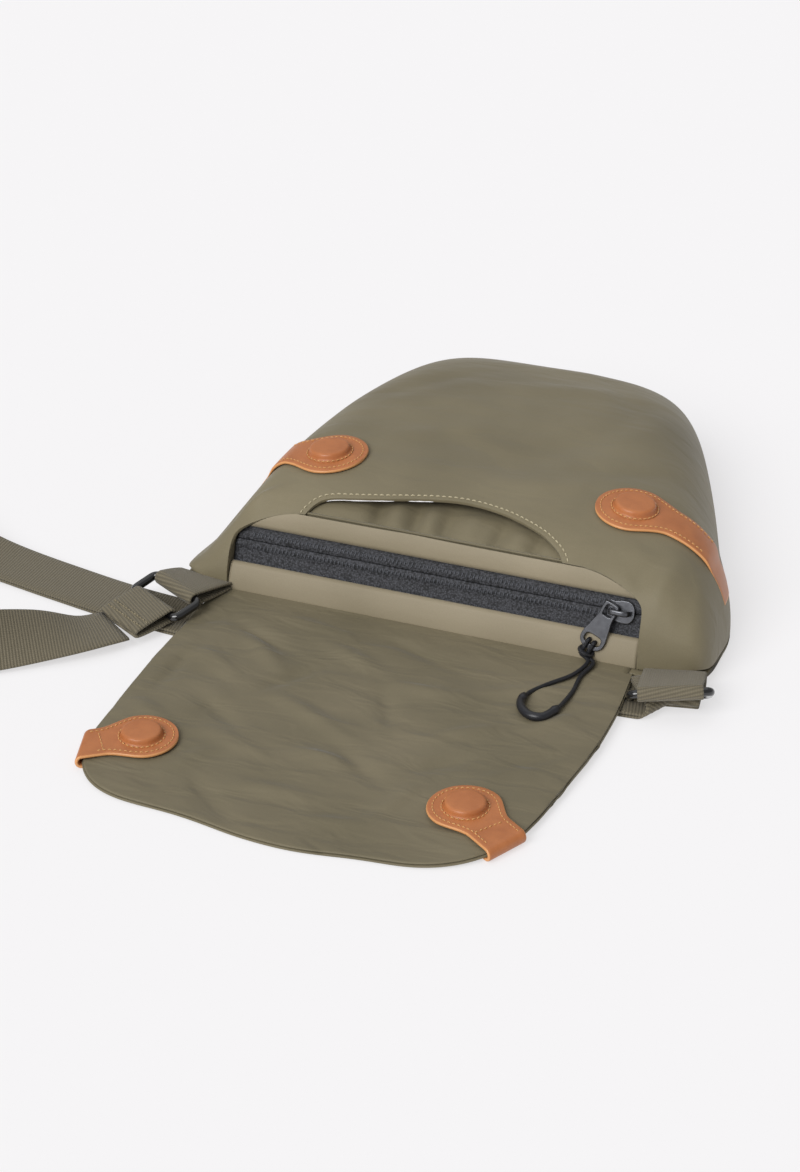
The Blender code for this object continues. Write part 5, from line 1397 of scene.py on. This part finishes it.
# The rim colour is partly the raw edge's paler tone and partly a painted highlight along the tab edges.
paint(tree, shader, edge.outputs["Fac"], between(tree, cloud, "#9d5a2f", "#c27b49"), "#d3965f")
pores = add(tree, "ShaderNodeBump", {"Height": grain.outputs[0], "Strength": 0.18, "Distance": 0.15 * MM})
emboss(tree, shader, cloud, 0.25, 0.6, pores.outputs[0])
tree.links.new(ranged(tree, cloud, 0.0, 1.0, 0.34, 0.5), shader.inputs["Roughness"])
saddle_thread = thread_look("tan_saddle_thread", "#b27640", "#e2b679")

# Plated steel: a clouded bright grey, for the magnet discs hidden in the pods.
steel, tree, shader = shader_for("magnet_steel", 0.35)
paint(tree, shader, blots(tree, 3, 3.0), "#8b8c8e", "#a6a7a9")
shader.inputs["Metallic"].default_value = 1.0
MAGNET_RADIUS = 8.0
MAGNET_THICK = 1.8


def tab_half_width(along):
    """A tab's half-width: a round head that eases over 21 mm into a strap."""
    head = np.sqrt(np.maximum(TAB_HEAD**2 - along**2, 0))
    neck = TAB_HEAD + (TAB_HALF - TAB_HEAD) * eased(along / TAB_NECK)
    return np.where(along < 0, head, neck)


def tab_rows(end):
    """Distances along a tab from its pod's centre: even angles round the head, then even steps."""
    head = -TAB_HEAD * np.cos(np.linspace(0.06, math.pi / 2, 22))
    return np.concatenate([head, np.linspace(0, end, 70)[1:]])


def saddle_stitch(name, line, normal):
    """A row of saddle stitches, 2.4 mm apart."""
    return stitches(name, line, np.broadcast_to(normal, line.shape), 2.4, 1.65, 0.3, saddle_thread)


side_part = np.sin(np.linspace(0, 1, 260) * math.pi / 2) * 0.9995
side_y = np.linspace(POD_Y - 24, POD_Y + 24, 41)
side_length = np.arange(-30, 120 + SIDE_STEP / 2, SIDE_STEP)


def look_up(table, rows, columns):
    """Values of a table between its rows and columns, by straight lines."""
    r = np.clip(rows, 0, table.shape[0] - 1.001)
    c = np.clip(columns, 0, table.shape[1] - 1.001)
    r0, c0 = r.astype(int), c.astype(int)
    fr, fc = (r - r0)[..., None], (c - c0)[..., None]
    return (table[r0, c0] * (1 - fr) + table[r0 + 1, c0] * fr) * (1 - fc) + (
        table[r0, c0 + 1] * (1 - fr) + table[r0 + 1, c0 + 1] * fr
    ) * fc


def body_side(side):
    """The body's surface across one side as a table: a row for each y, a column for each half millimetre
    along the surface from the pod."""
    rows = []
    for y in side_y:
        spots = dome(side * side_part, np.full_like(side_part, y / (BODY_LENGTH / 2)))
        length = np.concatenate([[0], np.cumsum(np.hypot(np.diff(spots[:, 0]), np.diff(spots[:, 2])))])
        length = length - np.interp(MAGNET_X + POD_SHIFT * side, np.abs(spots[:, 0]), length)
        rows.append(np.stack([np.interp(side_length, length, spots[:, k]) for k in range(3)], axis=1))
    return np.array(rows)


def on_side(table, distance, y):
    """A point of the body's side, from its distance along the surface and its y."""
    return look_up(table, (y - side_y[0]) / (side_y[1] - side_y[0]), (distance - side_length[0]) / SIDE_STEP)


def side_normal(table, side, distance, y):
    """The outward direction there, from the points a millimetre away each way."""
    ahead = on_side(table, distance + 1, y) - on_side(table, distance - 1, y)
    level = on_side(table, distance, y + 1) - on_side(table, distance, y - 1)
    return unit(np.cross(ahead, level)) * side


POD_PROFILE = np.array(
    [
        (11.5, -0.3), (10.8, 0.03), (10.35, 0.35), (10.1, 1.0), (9.95, 1.8), (9.65, 2.6), (9.0, 3.1),
        (7.9, 3.3), (5.5, 3.4), (3, 3.42), (0.02, 3.42)
    ]
)


def pod(where, origin, axes, body, scale=1.0):
    """The moulded leather cap over a magnet: a smooth profile turned about its own axis, with its ring of
    stitches and the magnet inside it."""
    profile = smooth_route(POD_PROFILE, POD_RINGS) * [scale, 1]
    turn = np.linspace(0, math.tau, POD_SIDES, endpoint=False)
    round_way = np.stack([np.cos(turn), np.sin(turn)], axis=1)
    ring = np.empty((POD_RINGS, POD_SIDES, 3))
    ring[..., :2] = profile[:, :1, None] * round_way
    ring[..., 2] = profile[:, 1:]
    last = (POD_RINGS - 1) * POD_SIDES
    faces = quads(POD_RINGS, POD_SIDES, False, True).tolist()
    faces += [list(range(last, last + POD_SIDES))[::-1], list(range(POD_SIDES))]
    rim = np.zeros(ring.shape[:2])
    cap = put(f"{where}_pod_leather", origin + ring @ axes, [f[::-1] for f in faces], leather, None, rim)
    circle = np.column_stack([round_way, np.full(POD_SIDES, 0.007)])[np.r_[0:POD_SIDES, 0]] * 11.2 * scale
    sewn = saddle_stitch(f"{where}_pod_stitching", origin + circle @ axes, axes[2])
    outline = MAGNET_RADIUS * scale * round_way
    magnet = plate(f"{where}_magnet_disc", [outline], MAGNET_THICK, 0.2, origin + axes[2] * 1.4, axes, steel)
    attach(sewn, body)
    fit(cap, body, "tan_leather", f"{where}_pod")
    fit(magnet, body, "magnet_steel", f"{where}_magnet")


def tab_hem(along):
    """The line of stitches inside a tab's edge: down one side, round the head and up the other."""
    round_head = np.linspace(math.pi / 2, -math.pi / 2, 60)
    head = TAB_HEAD - TAB_INSET
    straight = along[along > 0]
    side = tab_half_width(straight) - TAB_INSET
    run = np.concatenate([straight[::-1], -head * np.cos(round_head), straight])
    return run, np.concatenate([side[::-1], head * np.sin(round_head), -side])


for where, side, skive in (("body_left", -1, 24.0), ("body_right", 1, 40.0)):
    table = body_side(side)
    tab_end = float(np.interp(TAB_RUN_DOWN, table[20, ::-1, 2][:200], side_length[::-1][:200]))
    along = tab_rows(tab_end)
    y_grid = POD_Y + np.linspace(-1, 1, 17)[None, :] * tab_half_width(along)[:, None]
    a_grid = np.broadcast_to(along[:, None], y_grid.shape)
    whole = 1 - eased((along - skive) / SKIVE_LENGTH)
    thick = TAB * (0.25 + 0.75 * whole)[:, None]
    lift = (0.2 + (TAB_SEAT + TAB - 0.2) * whole)[:, None] - thick / 2
    grid = on_side(table, a_grid, y_grid) + side_normal(table, side, a_grid, y_grid) * lift[..., None]
    made = slab(f"{where}_tab_leather", grid, thick, leather)
    fit(made, "bag", "tan_leather", f"{where}_tab")
    hem_along, hem_across = tab_hem(along[along < skive])
    hem_y = POD_Y + hem_across
    hem_normal = side_normal(table, side, hem_along, hem_y)
    hem_line = on_side(table, hem_along, hem_y) + hem_normal * (TAB_SEAT + TAB)
    sewn = saddle_stitch(f"{where}_tab_stitching", hem_line, hem_normal)
    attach(sewn, "bag")
    spot = np.array([side * MAGNET_X + POD_SHIFT, POD_Y])
    up = dome_normal(spot[:1], spot[1:])[0]
    pod_x = unit(np.array([1.0, 0, 0]) - up * up[0])
    pod_axes = np.array([pod_x, np.cross(up, pod_x), up])
    pod(where, dome_at(spot[:1], spot[1:])[0] + up * (TAB_SEAT + TAB), pod_axes, "bag")

FLAP_TAB_ANGLE = math.radians(35)
FLAP_TAB_SCALE = 0.88
FLAP_POD_SCALE = 0.93
FLAP_TAB_AT = {-1: (82.6, 133.2), 1: (71.6, 133.8)}
FLAP_THICK = 2.3
panel_origin = np.array([0, HINGE_Y - FOLD_AT, HINGE_Z])
panel_axes = np.array(
    [[1.0, 0, 0], [0, math.cos(SLOPE), math.sin(SLOPE)], [0, -math.sin(SLOPE), math.cos(SLOPE)]]
)
tab_turn = FLAP_THICK / 2 + 0.3 + TAB / 2 + 0.25


def on_flap(side, out, across):
    """A place on the flap, from its distance out from a pod along the tab and across it: x, and the
    distance from the hinge."""
    pod_x, pod_distance = FLAP_TAB_AT[side]
    x = pod_x + out * math.cos(FLAP_TAB_ANGLE) + across * math.sin(FLAP_TAB_ANGLE)
    return side * x, pod_distance + out * math.sin(FLAP_TAB_ANGLE) - across * math.cos(FLAP_TAB_ANGLE)


def tab_edge_line(side):
    """The straight line, out from the pod against across, on which a tab passes the flap's edge."""
    out, across = np.meshgrid(
        np.linspace(0, 60, 601), np.linspace(-1, 1, 9) * TAB_HALF * FLAP_TAB_SCALE, indexing="ij"
    )
    x, distance = on_flap(side, out, across)
    u = x / flap_half(x, distance)
    within = (np.abs(u) < 1) & (distance < flap_reach(np.clip(u, -1, 1)))
    return np.polyfit(across[0], np.where(within, out, 0).max(axis=0), 1)


def on_flap_tab(side, edge_line, along, across):
    """A point of a flap tab's middle: along the inner side, half a circle round the flap's edge, and back
    along the outer side of the flap."""
    edge = np.polyval(edge_line, across)
    bend = np.clip((along - edge) / tab_turn, 0, math.pi)
    past = np.maximum(along - edge - math.pi * tab_turn, 0)
    x, distance = on_flap(side, np.minimum(along, edge) + tab_turn * np.sin(bend) - past, across)
    z = -FLAP_THICK / 2 + tab_turn * np.cos(bend) - 0.25
    return panel_origin + np.stack([x, FOLD_AT - distance, z], axis=-1) @ panel_axes


for where, side in (("flap_left", -1), ("flap_right", 1)):
    edge_line = tab_edge_line(side)
    slant = abs(edge_line[0]) * TAB_HALF * FLAP_TAB_SCALE
    tab_edge = edge_line[1] - slant
    head_rows = tab_rows(tab_edge / FLAP_TAB_SCALE) * FLAP_TAB_SCALE
    along = np.concatenate(
        [head_rows[:-1], np.linspace(tab_edge, tab_edge + math.pi * tab_turn + 2 * slant + 14, 80)]
    )
    across = np.linspace(-1, 1, 17) * tab_half_width(along / FLAP_TAB_SCALE)[:, None] * FLAP_TAB_SCALE
    grid = on_flap_tab(side, edge_line, np.broadcast_to(along[:, None], across.shape), across)
    made = slab(f"{where}_tab_leather", grid, TAB, leather)
    fit(made, "flap_panel", "tan_leather", f"{where}_tab")
    up = panel_axes[2]
    hem_along, hem_across = tab_hem(tab_rows((tab_edge + 1.0) / FLAP_TAB_SCALE))
    row = np.linspace(-1, 1, 30) * (tab_half_width(np.array(TAB_NECK)) - TAB_INSET)
    for label, line_along, line_across in (
        ("tab", hem_along, hem_across), ("cross", np.full(30, TAB_NECK), row)
    ):
        line = on_flap_tab(
            side, edge_line, line_along * FLAP_TAB_SCALE, line_across * FLAP_TAB_SCALE
        ) + up * TAB / 2
        sewn = saddle_stitch(f"{where}_{label}_stitching", line, up)
        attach(sewn, "flap_panel")
    origin = on_flap_tab(side, edge_line, np.array(0.0), np.array(0.0)) + up * TAB / 2
    pod(where, origin, panel_axes, "flap_panel", FLAP_POD_SCALE)

# Adjuster: a flat three-bar slide of the same enamelled steel, standing on edge in the bend of the strap.

GLIDE_HEIGHT = 39.0
GLIDE_SLOT = 32.0
glide_origin = at_seam(-352, -66, 20.2)
glide_axes = np.array([[0, 1.0, 0], [0, 0, 1.0], [1.0, 0, 0]])
glide_outline = rounded(-GLIDE_LENGTH / 2, GLIDE_LENGTH / 2, -GLIDE_HEIGHT / 2, GLIDE_HEIGHT / 2, 3.0, 8)
slot_far = bar_to_bar - GLIDE_BAR / 2
slot_spans = ((-slot_far, -GLIDE_BAR / 2), (GLIDE_BAR / 2, slot_far))
slots = [rounded(a, b, -GLIDE_SLOT / 2, GLIDE_SLOT / 2, 1.2, 5) for a, b in slot_spans]
adjuster = plate(
    "strap_adjuster_slide", [glide_outline, *slots], GLIDE_THICK, 0.6, glide_origin, glide_axes, enamel
)
fit(adjuster, "bag", "gloss_black_metal", "strap_adjuster")
